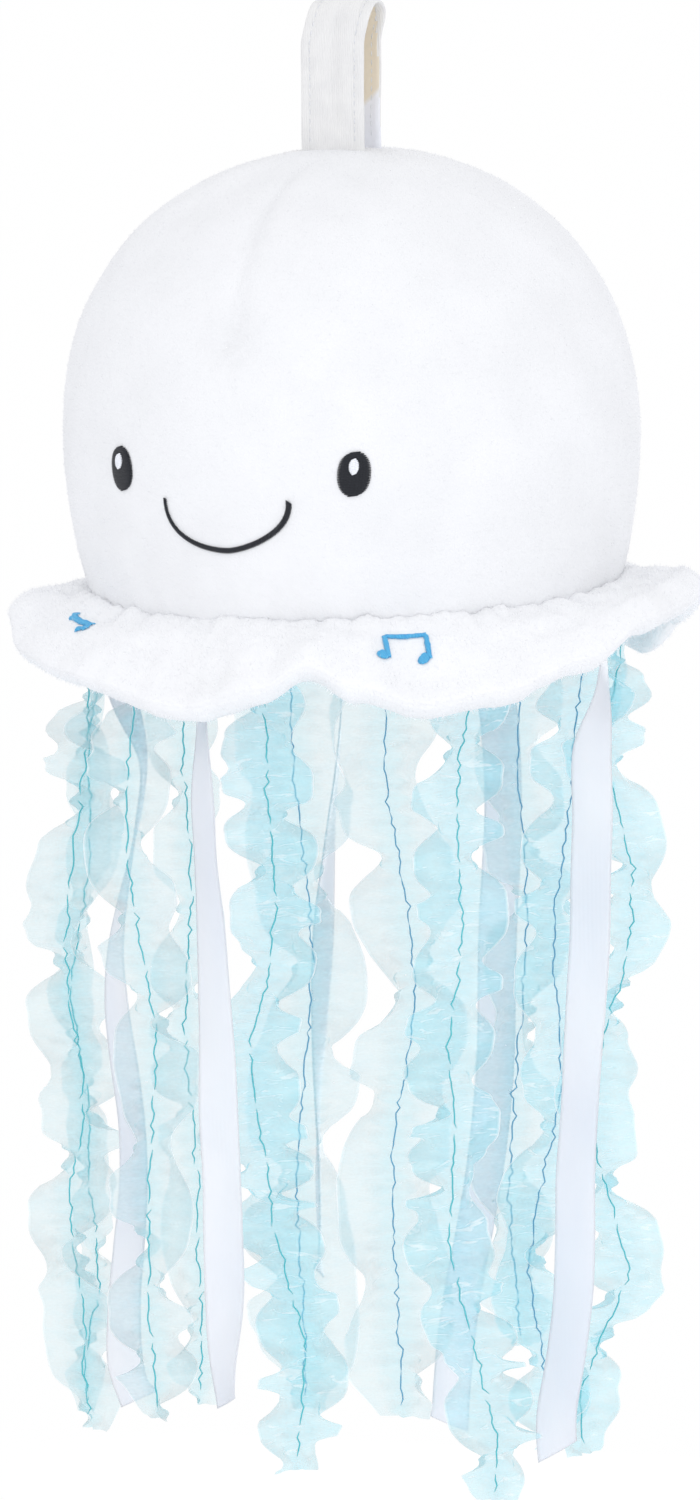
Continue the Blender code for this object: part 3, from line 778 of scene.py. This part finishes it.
# %% Build the brim
def build_brim():
    points = []
    for step in range(BRIM_STEPS):
        angle = 360 * step / BRIM_STEPS
        section = brim_section(angle)
        count = len(section)
        closed = section[-2:] + section + section[:3]
        middle = sum(section, Vector((0, 0))) / count
        for index in range(count * SECTION_STEPS):
            place = index / SECTION_STEPS
            spot = along(closed, place + 2)
            run = along(closed, place + 2.05) - along(closed, place + 1.95)
            out = Vector((-run.y, run.x)).normalized()
            if out.dot(spot - middle) < 0 and place > 2.9:
                out = -out
            share = min(max((spot.x - head_radius(BASE_Z)) / BRIM_REACH, 0), 1)
            move = brim_move(angle, share, place < 3.2) if place < count - 1 else 0
            spot = spot + out * move
            points.append(around(angle, spot.x, spot.y))
    columns = len(points) // BRIM_STEPS
    rings = grid_faces(BRIM_STEPS + 1, columns, round_columns=True)
    faces = [tuple(corner % len(points) for corner in face) for face in rings]
    return add_piece("brim_plush", points, faces, [lit_brim_plush])


brim = build_brim()
belongs(brim, "plush", "brim")
BRIM_SKIN = skin_finder(brim)
BRIM_BLADES, BRIM_PILE, BRIM_FIBRE = 34000, 0.0012, 0.00014
grow_pile(brim, BRIM_BLADES, BRIM_PILE, BRIM_FIBRE, seed=4)


# %% [markdown]
# The panel that closes the head's base is seen from below. It is a disc of the same plush,
# pushed out a little by the filling, with its edge gathered into the seam.


# %% Build the base panel
PANEL_RINGS, PANEL_STEPS = 26, 120
PANEL_INSET = 0.0003
PANEL_STEP_DOWN, PANEL_GATHER = 0.004, 0.0009


def build_panel():
    low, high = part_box("base_panel")
    radius = (high.x - low.x) / 2 - PANEL_INSET
    rim_z = high.z - PANEL_INSET
    points = [Vector((0, 0, low.z))]
    for ring in range(1, PANEL_RINGS + 1):
        share = ring / PANEL_RINGS
        dip = (low.z - rim_z + PANEL_STEP_DOWN) * (1 - share**2) - PANEL_STEP_DOWN
        dip *= 1 - smooth_step((share - 0.94) / 0.06)
        gathers = PANEL_GATHER * smooth_step((share - 0.5) / 0.4) * (1 - share**8)
        for step in range(PANEL_STEPS):
            angle = 360 * step / PANEL_STEPS
            puckers = gathers * wander(angle / 4.0, 9.0)
            points.append(around(angle, radius * share, rim_z + dip + puckers))
    faces = [face[::-1] for face in pole_faces(PANEL_RINGS, PANEL_STEPS)]
    return add_piece("base_panel_cloth", points, faces, [plush])


panel = build_panel()
belongs(panel, "plush", "base_panel")

# %% [markdown]
# ## Notes on the brim
# A beamed pair and a single note are sewn on the brim in blue. They are common ornaments, drawn
# here as a path of stitches: a slanting oval for each head, then short stitches across each
# stem and beam.

# %% Note sizes and places
NOTE_PLACE = 0.57
NOTE_STEM = 0.0080
NOTE_SPACING = 0.0115
NOTE_HEAD = 0.0030
BEAMED_ANGLE, SINGLE_ANGLE, SINGLE_LEAN = 34, -38, -90
SINGLE_STEM = 0.0130
BEAMED_STROKE, SINGLE_STROKE = 0.0015, 0.0026
NOTE_LIFT, NOTE_ARCH = 0.0002, 0.0004
BRIM_SLOPE = 1.3
CLEAR_OF_BRIM = 0.006


# %% Sew the notes
def on_brim(angle, lean, across, up, height):
    """A spot on the brim's top, so far across and up from its note's middle."""
    turn = math.radians(lean)
    x = across * math.cos(turn) - up * math.sin(turn)
    y = across * math.sin(turn) + up * math.cos(turn)
    share = NOTE_PLACE - y / (BRIM_REACH * BRIM_SLOPE)
    here = angle + math.degrees(x / (head_radius(BASE_Z) + BRIM_REACH * share))
    base = around(here, *brim_top(here, share))
    ahead = around(here, *brim_top(here, share + 0.05)) - base
    beside = around(here + 1, *brim_top(here + 1, share)) - base
    out = ahead.cross(beside).normalized()
    out = out if out.z > 0 else -out
    spot, _, _, _ = BRIM_SKIN.ray_cast(base + out * CLEAR_OF_BRIM, -out)
    return (spot or base) + out * height


def line_stitches(line, width):
    """Short slanting stitches across a line of flat points, each as five flat points."""
    for (x0, y0), (x1, y1) in zip(line, line[1:]):
        length = math.hypot(x1 - x0, y1 - y0)
        ux, uy = (x1 - x0) / length, (y1 - y0) / length
        for stitch in range(max(int(length / STITCH_STEP), 1)):
            t = (stitch + 0.5) * STITCH_STEP
            x, y = x0 + ux * t, y0 + uy * t
            half = width / 2 * (1 + 0.35 * wander(x * 900, y * 900))
            reach = [half * turn for turn in STITCH_TURNS]
            yield [(x - uy * s + ux * s * 0.5, y + ux * s + uy * s * 0.5) for s in reach]


def head_stitches(x, y):
    """A slanting oval of stitches to the left of a stem's foot."""
    for row in range(9):
        up = row / 4 - 1
        half = NOTE_HEAD * 0.66 * math.sqrt(1 - (up * 0.9) ** 2)
        reach = [half * turn for turn in STITCH_TURNS]
        middle_x, middle_y = x - NOTE_HEAD * 0.5, y + up * NOTE_HEAD * 0.46
        yield [(middle_x + s, middle_y + s * 0.3) for s in reach]


def build_note(name, angle, lean, stems, stem, tops, stroke):
    flat = []
    for x in stems:
        flat += line_stitches([(x, -stem / 2), (x, stem / 2)], stroke)
        flat += head_stitches(x, -stem / 2)
    flat += line_stitches(tops, stroke)
    lifts = [NOTE_LIFT + NOTE_ARCH * stitch_arch(turn) for turn in STITCH_TURNS]
    paths = [
        [on_brim(angle, lean, x, y, lift) for (x, y), lift in zip(stitch, lifts)]
        for stitch in flat
    ]
    sew(name + "_stitches", paths, STITCH_RADIUS, blue_thread, "blue_stitching", name)


half, top = NOTE_SPACING / 2, NOTE_STEM / 2
beam = [(-half, top), (half, top)]
build_note("beamed_notes", BEAMED_ANGLE, 0, (-half, half), NOTE_STEM, beam, BEAMED_STROKE)
top = SINGLE_STEM / 2
flag = [(0, top), (0.0026, top - 0.0012), (0.0040, top - 0.0030)]
build_note("single_note", SINGLE_ANGLE, SINGLE_LEAN, (0,), SINGLE_STEM, flag, SINGLE_STROKE)

# %% [markdown]
# ## The hang loop
# The loop is a strap folded double over itself and sewn into the crown. Its path is the one the
# solid has: up, over a tight bend and down. The strap has folded edges, a line of stitches
# inside each edge, and warm beige high on the side that faces into the loop.

# %% Loop sizes
LOOP_LOW, LOOP_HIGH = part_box("hang_loop")
LOOP_WIDTH = LOOP_HIGH.x - LOOP_LOW.x
STRAP_WALL = LOOP_HIGH.z
LOOP_BEND = (LOOP_HIGH.y - LOOP_LOW.y - STRAP_WALL) / 2
LOOP_ROOT = 0.0012
STITCH_INSET, STITCH_WIDTH, STITCH_DIP = 0.0030, 0.0007, 0.0004
EDGE_THREAD_RADIUS = 0.00022
LOOP_STEPS, STRAP_COLUMNS = 110, 20
STRAP_CREASE, CREASE_WIDTH, STRAP_WAVES = 0.0012, 0.0022, 0.0006
LOOP_LEAN, BEND_LEAN = 0.0012, 0.0022


def loop_path():
    """(y, z) up the front ply, over the top and down the back ply, evenly spaced."""
    top = STRAP_WALL / 2 - LOOP_BEND
    foot = CROWN_Z - LOOP_ROOT
    straight = top - foot
    total = 2 * straight + math.pi * LOOP_BEND
    spots = []
    for step in range(LOOP_STEPS + 1):
        run = total * step / LOOP_STEPS
        if run < straight:
            spots.append((-LOOP_BEND, foot + run, 0.0))
        elif run < straight + math.pi * LOOP_BEND:
            turn = (run - straight) / LOOP_BEND
            spots.append((-LOOP_BEND * math.cos(turn), top + LOOP_BEND * math.sin(turn), turn))
        else:
            spots.append((LOOP_BEND, foot + total - run, math.pi))
    return spots


# %% Build the loop
def strap_spot(row, x, side):
    """A spot on the strap: x across it, side 1 on its outer face and -1 on its inner one."""
    y, z, turn = row
    out = Vector((0, -math.cos(turn), math.sin(turn)))
    edge = 1 - (abs(x) / (LOOP_WIDTH / 2)) ** 10
    dip = STITCH_DIP * hump(abs(x) - (LOOP_WIDTH / 2 - STITCH_INSET), STITCH_WIDTH)
    wall = STRAP_WALL / 2 * math.sqrt(max(edge, 0)) - dip
    ply = -1 if y < 0 else 1
    free = smooth_step(-z / 0.006) * smooth_step((z - CROWN_Z) / 0.012)
    crease = STRAP_CREASE * hump(x + 0.0005 + z * 0.04, CREASE_WIDTH) * free
    soft = STRAP_WAVES * wander(x * 60, z * 70, ply * 3.0) * free
    lean = LOOP_LEAN * smooth_step((z - CROWN_Z) / 0.042) + BEND_LEAN * smooth_step(z / 0.012 + 1)
    return Vector((x + lean, y, z)) + out * (wall * side - crease + soft)


def build_loop():
    rows = loop_path()
    half = LOOP_WIDTH / 2
    xs = [-half * math.cos(math.pi * c / STRAP_COLUMNS) for c in range(STRAP_COLUMNS + 1)]
    columns = [(x, 1) for x in xs] + [(x, -1) for x in xs[-2:0:-1]]
    points = [strap_spot(row, x, side) for row in rows for x, side in columns]
    count = len(columns)
    faces = grid_faces(len(rows), count, round_columns=True)
    faces += [tuple(range(count))[::-1], tuple(range(len(points) - count, len(points)))]
    loop = add_piece("loop_strap", points, faces, [strap, inner_face])
    for face in loop.data.polygons:
        centre = face.center
        inside = face.normal.y * centre.y < -1e-6 and abs(centre.y) < LOOP_BEND
        if inside and abs(centre.x) < half:
            face.material_index = 1
    return loop


def loop_stitches():
    """Stitches inside both edges of the strap, on both of its sides."""
    rows = loop_path()
    inset = LOOP_WIDTH / 2 - STITCH_INSET
    return [
        [strap_spot(row, x, side) for row in rows[first:first + 3]]
        for x in (-inset, inset) for side in (1, -1) for first in range(4, len(rows) - 5, 3)
    ]


loop = build_loop()
belongs(loop, "strap_cloth", "hang_loop")
sew("loop_stitches", loop_stitches(), EDGE_THREAD_RADIUS, edge_thread, "strap_cloth")

# %% [markdown]
# ## The tentacles' lines
# Each hanging piece follows the middle line of its solid. The rows of the solid are read back
# from its points: spots at one height belong to one row, and the line across a row gives the
# direction of the cloth there.

# %% Read the rows of a solid
ROW_GAP, RIBBON_ROW_GAP = 0.003, 0.009


def strip_rows(node, gap=ROW_GAP):
    """Rows down a hanging solid, as (middle, direction across, half width)."""
    spots = [vertex.co.copy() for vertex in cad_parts[node].data.vertices]
    spots.sort(key=lambda spot: -spot.z)
    rows, row = [], []
    for spot in spots:
        if row and row[0].z - spot.z > gap:
            rows.append(row)
            row = []
        row.append(spot)
    rows.append(row)
    made = []
    for row in rows:
        flat = [Vector((p.x, p.y, 0)) for p in row]
        first = max(flat, key=lambda p: (p - flat[0]).length)
        last = max(flat, key=lambda p: (p - first).length)
        across = (last - first).normalized()
        if made and across.dot(made[-1][1]) < 0:
            across = -across
        elif not made and across.cross(Vector((0, 0, 1))).dot(flat[0]) < 0:
            across = -across
        order = sorted(row, key=lambda p: p.dot(across))
        third = max(len(order) // 3, 1)
        inner = order[third:-third] or order
        middle = sum(inner, Vector()) / len(inner)
        made.append((middle, across, (last - first).length / 2))
    return made


def even_steps(rows, step_length):
    """Even steps down the rows, as (how far down, middle, direction across)."""
    lines, sides = [row[0] for row in rows], [row[1] for row in rows]
    reach = [0.0]
    for a, b in zip(lines, lines[1:]):
        reach.append(reach[-1] + (b - a).length)
    count = int(reach[-1] / step_length)
    steps, index = [], 0
    for step in range(count + 1):
        drop = reach[-1] * step / count
        while index < len(reach) - 2 and reach[index + 1] < drop:
            index += 1
        place = index + (drop - reach[index]) / (reach[index + 1] - reach[index])
        steps.append((drop, along(lines, place), along(sides, place).normalized()))
    return steps


def front_of(across):
    """The level direction that faces out of a piece of cloth."""
    return Vector((across.y, -across.x, 0))


print("rows in the first tentacle:", len(strip_rows("organza_tentacle_01")))

# %% [markdown]
# ## Organza tentacles
# Each tentacle is a wide strip of organza gathered along its middle by a thread. The strip is cut
# about twice as long as it hangs. The thread holds its middle short, so the two free halves have
# nowhere to go but to the front and back, and they buckle into ruffles. The first shape below
# only says where the ruffles swing. A cloth simulation then finds the real folds from the cut.

# %% Ruffle sizes
TAB = 0.006
OPEN_UP = 0.016
ROW_STEP = 0.0009
HALF_COLUMNS = 7
PLEAT_DEPTH, PLEAT_PLACE, PLEAT_SPREAD = 0.0022, 0.30, 0.20
PLEAT_RATE, FRILL_RATE = 0.9, 0.62
UNEVEN_PACE, SLOWEST_PACE = 2.0, 0.5
UNEVEN_SWING = UNEVEN_LEAN = 0.6
CALM_DROP = 0.10
LOBE_ROUNDNESS = 2.2
TIP_WIDTH, TIP_LENGTH = 0.5, 0.016
# For each strip: half width and ruffle wave in mm, swing in degrees, how calm its top hangs,
# how deep its edges curl in mm, 1 for the bright organza
RUFFLES = [
    (13.5, 36, 76, 0, 0.5, 1), (13.5, 38, 76, 0, 0.5, 1), (13.0, 54, 86, 0, 0, 1),
    (13.5, 54, 86, 0, 0, 1), (13.5, 66, 86, 0.7, 0, 0), (18.0, 100, 84, 1, 0, 0),
    (18.0, 110, 84, 1, 0, 0), (11.5, 56, 88, 0, 0, 0), (7.0, 50, 84, 0, 0, 0),
    (14.0, 56, 90, 0, 0, 0), (13.0, 62, 90, 0, 0, 0),
]  # fmt: skip


# %% Build one ruffled strip
def swing_angle(drop, phase, swing, calm, seed, side):
    """How far one half of the strip swings out of its plane, in radians."""
    swell = 1 + UNEVEN_SWING * wander(drop * 40, seed * 3.0 + side * 2, 6.0)
    lean = UNEVEN_LEAN * wander(drop * 18, seed * 8.0 - side * 3, 1.0)
    wave = math.sin(phase)
    bend = math.copysign(abs(wave) ** LOBE_ROUNDNESS, wave)
    angle = math.radians(swing) * swell * bend + lean
    return angle * (1 - calm * (1 - smooth_step(drop / CALM_DROP)))


def ruffle_rows(rows, cloth, seed):
    """Rows of points across the gathered strip before its folds have settled."""
    half_width, wave, swing, calm, frill, _ = cloth
    steps = even_steps(rows, ROW_STEP)
    length = steps[-1][0]
    turn = math.tau * length / (len(steps) - 1) / (wave * MM)
    phases = {-1: seed * 1.3, 1: seed * 2.1 + 2.0}
    made = []
    for step, (drop, middle, across) in enumerate(steps):
        front = front_of(across)
        free = smooth_step((drop - TAB) / OPEN_UP)
        wide = (TAB + (half_width * MM - TAB) * free) * tip_share(length - drop)
        pleat = PLEAT_DEPTH * math.sin(step * PLEAT_RATE + 3 * wander(drop * 90, seed)) * free
        halves = {}
        for side in (-1, 1):
            pace = 1 + UNEVEN_PACE * wander(drop * 16, seed * 5.0 + side)
            phases[side] += turn * max(pace, SLOWEST_PACE)
            angle = swing_angle(drop, phases[side], swing, calm, seed, side)
            curl = math.sin(step * FRILL_RATE + 5 * wander(drop * 50, seed * 2.0 + side)) * free
            curl *= frill * MM * (1 + 1.5 * wander(drop * 70, seed * 6.0 - side))
            spot, halves[side] = middle.copy(), []
            for column in range(1, HALF_COLUMNS + 1):
                out = column / HALF_COLUMNS
                tilt = angle * free * smooth_step(out * 1.6)
                pull = across * side * math.cos(tilt) + front * math.sin(tilt)
                face = front * math.cos(tilt) - across * side * math.sin(tilt)
                spot = spot + pull * (wide / HALF_COLUMNS)
                fold = pleat * hump(out - PLEAT_PLACE, PLEAT_SPREAD) + curl * out**3
                halves[side].append(spot + face * fold)
        made.append(halves[-1][::-1] + [middle] + halves[1])
    return made


def tip_share(left):
    """How much of its width the strip still has so far before its rounded end."""
    return TIP_WIDTH + (1 - TIP_WIDTH) * smooth_step(left / TIP_LENGTH)


def edge_length(rows):
    """The mean length of the strip's two free edges, which is the length it is cut to."""
    left = sum((a[0] - b[0]).length for a, b in zip(rows, rows[1:]))
    right = sum((a[-1] - b[-1]).length for a, b in zip(rows, rows[1:]))
    return (left + right) / 2


# %% Let the cloth settle
CLOTH_FRAMES = 24
EVEN_OUT = 3
HELD_ROWS = 4
ORGANZA_CLOTH = {
    "quality": 5, "mass": 0.004, "tension_stiffness": 12, "compression_stiffness": 12,
    "shear_stiffness": 4, "bending_stiffness": 0.02, "air_damping": 2,
}  # fmt: skip
CLOTH_GRAVITY = 0.2


def cut_places(rows, side):
    """How far down its flat cut each row of the strip lies at one of its two free edges."""
    steps = [(a[side] - b[side]).length for a, b in zip(rows, rows[1:])]
    places = [0.0]
    for index in range(len(steps)):
        near = steps[max(index - EVEN_OUT, 0):index + EVEN_OUT + 1]
        places.append(places[-1] + sum(near) / len(near))
    return places


def prepare_cloth(piece, rows, half_width, cut_length):
    """Gives the strip its flat cut as rest shape and holds its top and its middle."""
    columns = len(rows[0])
    left, right = cut_places(rows, 0), cut_places(rows, -1)
    piece.shape_key_add(name="hanging")
    cut = piece.shape_key_add(name="cut")
    held = piece.vertex_groups.new(name="held")
    for index in range(len(rows) * columns):
        row, column = divmod(index, columns)
        share = column / (columns - 1)
        x = (share * 2 - 1) * half_width * tip_share((len(rows) - 1 - row) * ROW_STEP)
        down = left[row] / left[-1] * (1 - share) + right[row] / right[-1] * share
        cut.data[index].co = (x, 0, -down * cut_length)
        if column == columns // 2 or row < HELD_ROWS:
            held.add([index], 1.0, "ADD")
    settle = piece.modifiers.new("settle", "CLOTH")
    settle.settings.rest_shape_key = cut
    settle.settings.vertex_group_mass = "held"
    for setting, value in ORGANZA_CLOTH.items():
        setattr(settle.settings, setting, value)
    settle.point_cache.frame_end = CLOTH_FRAMES
    settle.settings.effector_weights.gravity = CLOTH_GRAVITY


def settle_all(pieces):
    """Runs the cloth and keeps its last shape."""
    scene = bpy.context.scene
    for frame_number in range(1, CLOTH_FRAMES + 1):
        scene.frame_set(frame_number)
    graph = bpy.context.evaluated_depsgraph_get()
    shapes = {}
    for piece in pieces:
        shapes[piece] = [v.co.copy() for v in piece.evaluated_get(graph).data.vertices]
    for piece, shape in shapes.items():
        piece.modifiers.clear()
        piece.shape_key_clear()
        for vertex, spot in zip(piece.data.vertices, shape):
            vertex.co = spot
    scene.frame_set(1)


# %% Build the tentacles
def cloth_area(piece):
    return sum(face.area for face in piece.data.polygons)


def build_tentacle(number, cloth):
    node = f"organza_tentacle_{number:02d}"
    half_width, bright = cloth[0] * MM, cloth[5]
    rows = ruffle_rows(strip_rows(node), cloth, number)
    columns = len(rows[0])
    points = [spot for row in rows for spot in row]
    finish = bright_organza if bright else pale_organza
    piece = add_piece(f"organza_{number:02d}", points, grid_faces(len(rows), columns), [finish])
    width, length = half_width * 2, edge_length(rows)
    mark_edges(piece, columns)
    prepare_cloth(piece, rows, half_width, length)
    belongs(piece, "organza", node)
    print(piece.name, "is cut", round(width / MM), "mm by", round(length / MM), "mm")
    piece["cut_area"] = width * length
    return piece, rows


tentacles = [build_tentacle(number, cloth) for number, cloth in enumerate(RUFFLES, start=1)]
settle_all([tentacle for tentacle, _ in tentacles])
for tentacle, _ in tentacles:
    kept = cloth_area(tentacle) / tentacle["cut_area"]
    print(tentacle.name, "keeps", round(kept, 3), "of its cut area")

# %% [markdown]
# The gathering thread runs over and under the middle of each strip. It is stitched by hand, so
# it strays a little, and on most strips it shows as short lengths with a gap between them.

# %% Gathering threads
THREAD_RADIUS = 0.00024
THREAD_FRONT = Vector((0.42, -0.9, 0))
SLOW_STRAY, QUICK_STRAY = 0.0012, 0.0014
THREAD_OVER, UNEVEN_OVER = 0.0010, 0.0006
SHORT_RUN, MORE_RUN = 8, 16
# Strips whose thread is deeper in colour and runs on without gaps
DEEP_THREADS = (4, 5, 6, 7)


def thread_path(number, rows):
    """The path of a strip's thread, down its middle and just off its front."""
    middle = [row[HALF_COLUMNS] for row in rows]
    sides = [row[1] for row in strip_rows(f"organza_tentacle_{number:02d}")]
    path = []
    for step in range(6, len(middle) - 4, 2):
        across = along(sides, step / (len(rows) - 1) * (len(sides) - 1)).normalized()
        front = front_of(across)
        front = front if front.dot(THREAD_FRONT) > 0 else -front
        stray = SLOW_STRAY * wander(step * 0.11, number * 3.0)
        stray += QUICK_STRAY * wander(step * 0.4, number)
        over = THREAD_OVER + UNEVEN_OVER * wander(step * 0.2, number * 9.0)
        path.append(middle[step] + across * stray + front * over)
    return path


def build_gather_thread(number, rows):
    deep = number in DEEP_THREADS
    path = thread_path(number, rows)
    runs, start = [], 0
    while start < len(path) - 3:
        long = SHORT_RUN + int(MORE_RUN * abs(wander(start * 0.37, number * 4.0)))
        runs.append(path[start:start + long + 1])
        start += long if deep else long + 1
    finish = deep_thread if deep else teal_thread
    name = f"{number:02d}"
    sew("gathering_" + name, runs, THREAD_RADIUS, finish, "gather_thread", "gather_thread_" + name)


for number, (_, rows) in enumerate(tentacles, start=1):
    build_gather_thread(number, rows)

# %% [markdown]
# ## Satin ribbons
# The ribbons are plain lengths of satin that hang almost flat, with a slow twist and a slanting
# cut at the end.

# %% Build the ribbons
RIBBON_WALL = 0.0004
RIBBON_COLUMNS = 12
RIBBON_STEP = 0.0015
RIBBON_BOW, RIBBON_CURL, RIBBON_TWIST = 0.0012, 0.0009, 0.0008
TIP_SLANT, TIP_CUT_LENGTH, TIP_TURN_LENGTH = 0.006, 0.012, 0.045
# For each ribbon: turn of its top in degrees and how far down it goes in metres, turn of its tip
RIBBON_TURNS = [(-58, 0.16, -55), (28, 0.085, 10), (0, 0.1, 0), (0, 0.1, 0), (-80, 0.3, 0)]


def ribbon_points(rows, half, number, top_turn, top_length, tip_turn):
    """Points across the ribbon, row by row from its top, and its length."""
    steps = even_steps(rows, RIBBON_STEP)
    length = steps[-1][0]
    points = []
    for drop, middle, across in steps:
        free = smooth_step((drop - TAB) / OPEN_UP)
        turn = top_turn * (1 - smooth_step(drop / top_length))
        turn += tip_turn * smooth_step((drop - length) / TIP_TURN_LENGTH + 1)
        across = Matrix.Rotation(math.radians(turn), 3, "Z") @ across
        bow = RIBBON_BOW * math.sin(drop * 21 + number)
        curl = RIBBON_CURL * math.sin(drop * 30 + number * 2)
        twist = RIBBON_TWIST * math.sin(drop * 47 + number * 5)
        slant = TIP_SLANT * smooth_step((drop - length) / TIP_CUT_LENGTH + 1)
        for column in range(RIBBON_COLUMNS + 1):
            x = 2 * column / RIBBON_COLUMNS - 1
            off = (bow + curl * x * x + twist * x) * free
            spot = middle + across * half * x + front_of(across) * off
            points.append(spot + Vector((0, 0, slant * (x + 1) / 2)))
    return points, length


def build_ribbon(number, turns):
    node = f"satin_ribbon_{number}"
    rows = strip_rows(node, RIBBON_ROW_GAP)
    half = sum(row[2] for row in rows[1:-1]) / (len(rows) - 2)
    points, length = ribbon_points(rows, half, number, *turns)
    columns = RIBBON_COLUMNS + 1
    faces = grid_faces(len(points) // columns, columns)
    piece = add_piece(f"ribbon_{number}", points, faces, [satin])
    thicken = piece.modifiers.new("Cloth thickness", "SOLIDIFY")
    thicken.thickness = RIBBON_WALL
    thicken.offset = 0
    belongs(piece, "satin", node)


for number, turns in enumerate(RIBBON_TURNS, start=1):
    build_ribbon(number, turns)

# %% [markdown]
# ## Studio
# The toy hangs in the air over a pale floor, in soft even light. The floor and the world look
# white to the camera without adding light to the toy, so the sheer cloth is seen against white.
# Three wide lamps shape it: one in front, one low for the cloth, and one behind that glows
# through the strips.

# %% Floor and backdrop
FLOOR_Z = -0.80
FLOOR_SIZE = 60
FLOOR_WHITE = 0.97


def seen_white(tree, surface, white_kind, strength):
    """Shows plain white in place of a surface where the camera, gloss or sheer cloth sees it."""
    rays = tree.nodes.new("ShaderNodeLightPath").outputs
    seen = join_values(tree, "MAXIMUM", rays["Is Camera Ray"], rays["Is Glossy Ray"])
    seen = join_values(tree, "MAXIMUM", seen, rays["Is Transmission Ray"])
    share = join_values(tree, "MULTIPLY", seen, strength)
    white = tree.nodes.new(white_kind)
    white.inputs["Color"].default_value = (1, 1, 1, 1)
    show(tree, mix_shaders(tree, share, surface, white))


def build_floor():
    finish, tree, shader = new_finish("pale_floor", (244, 245, 247), 0.9)
    seen_white(tree, shader, "ShaderNodeEmission", FLOOR_WHITE)
    h = FLOOR_SIZE / 2
    corners = [(-h, -h, FLOOR_Z), (h, -h, FLOOR_Z), (h, h, FLOOR_Z), (-h, h, FLOOR_Z)]
    add_piece("floor", corners, [(0, 1, 2, 3)], [finish])


build_floor()

# %% World and lamps
AMBIENT = 1.045
# For each lamp: its name, place and aim, its width in metres and its power in watts
LAMPS = [
    ("key", (1.3, -2.0, 0.9), (0, 0, -0.2), 1.4, 7),
    ("low_fill", (0.8, -1.5, -0.7), (0, 0, -0.45), 0.9, 3),
    ("back_glow", (-0.2, 1.2, -0.6), (0, 0, -0.36), 0.9, 4.5),
]


def light_world():
    world = bpy.data.worlds.new("studio")
    world.use_nodes = True
    bpy.context.scene.world = world
    glow = world.node_tree.nodes["Background"]
    glow.inputs["Color"].default_value = (*linear((253, 253, 255)), 1)
    glow.inputs["Strength"].default_value = AMBIENT
    seen_white(world.node_tree, glow, "ShaderNodeBackground", 1.0)


def add_lamp(name, place, aim, size, power):
    data = bpy.data.lights.new(name, "AREA")
    data.size = size
    data.energy = power
    lamp = add_object(name, data)
    lamp.location = place
    lamp.rotation_euler = (Vector(aim) - Vector(place)).to_track_quat("-Z", "Y").to_euler()


light_world()
for lamp in LAMPS:
    add_lamp(*lamp)
print("lamps:", [lamp[0] for lamp in LAMPS])

# %% [markdown]
# ## Camera
# The camera stands 25 degrees round from the face and 10 degrees above it, 1.8 m away with a
# long lens, and leans 2 degrees. The aim is a little off the picture's middle, where the toy
# hangs in the frame.

# %% Place the camera
CAMERA_AZIMUTH, CAMERA_HEIGHT, CAMERA_ROLL = 25.3, 10.0, 2.0
CAMERA_DISTANCE = 1.8
SENSOR_WIDTH = 36
AIM = Vector((0, 0, -0.2255))
VIEW_HEIGHT = 0.45
PICTURE = (700, 1500)
AIM_PIXEL = (363, 760.5)


def place_camera():
    data = bpy.data.cameras.new("camera")
    data.sensor_width = SENSOR_WIDTH
    data.lens = SENSOR_WIDTH * CAMERA_DISTANCE / VIEW_HEIGHT
    data.shift_x = (PICTURE[0] / 2 - AIM_PIXEL[0]) / PICTURE[1]
    data.shift_y = (AIM_PIXEL[1] - PICTURE[1] / 2) / PICTURE[1]
    lift = math.radians(CAMERA_HEIGHT)
    back = around(CAMERA_AZIMUTH, math.cos(lift), math.sin(lift))
    lean = Quaternion((0, 0, 1), -math.radians(CAMERA_ROLL))
    camera = add_object("camera", data)
    camera.rotation_mode = "QUATERNION"
    camera.rotation_quaternion = (-back).to_track_quat("-Z", "Y") @ lean
    camera.location = AIM + back * CAMERA_DISTANCE
    bpy.context.scene.camera = camera
    print("the lens is", round(data.lens), "mm long")


place_camera()
bpy.context.scene.view_settings.view_transform = "Standard"
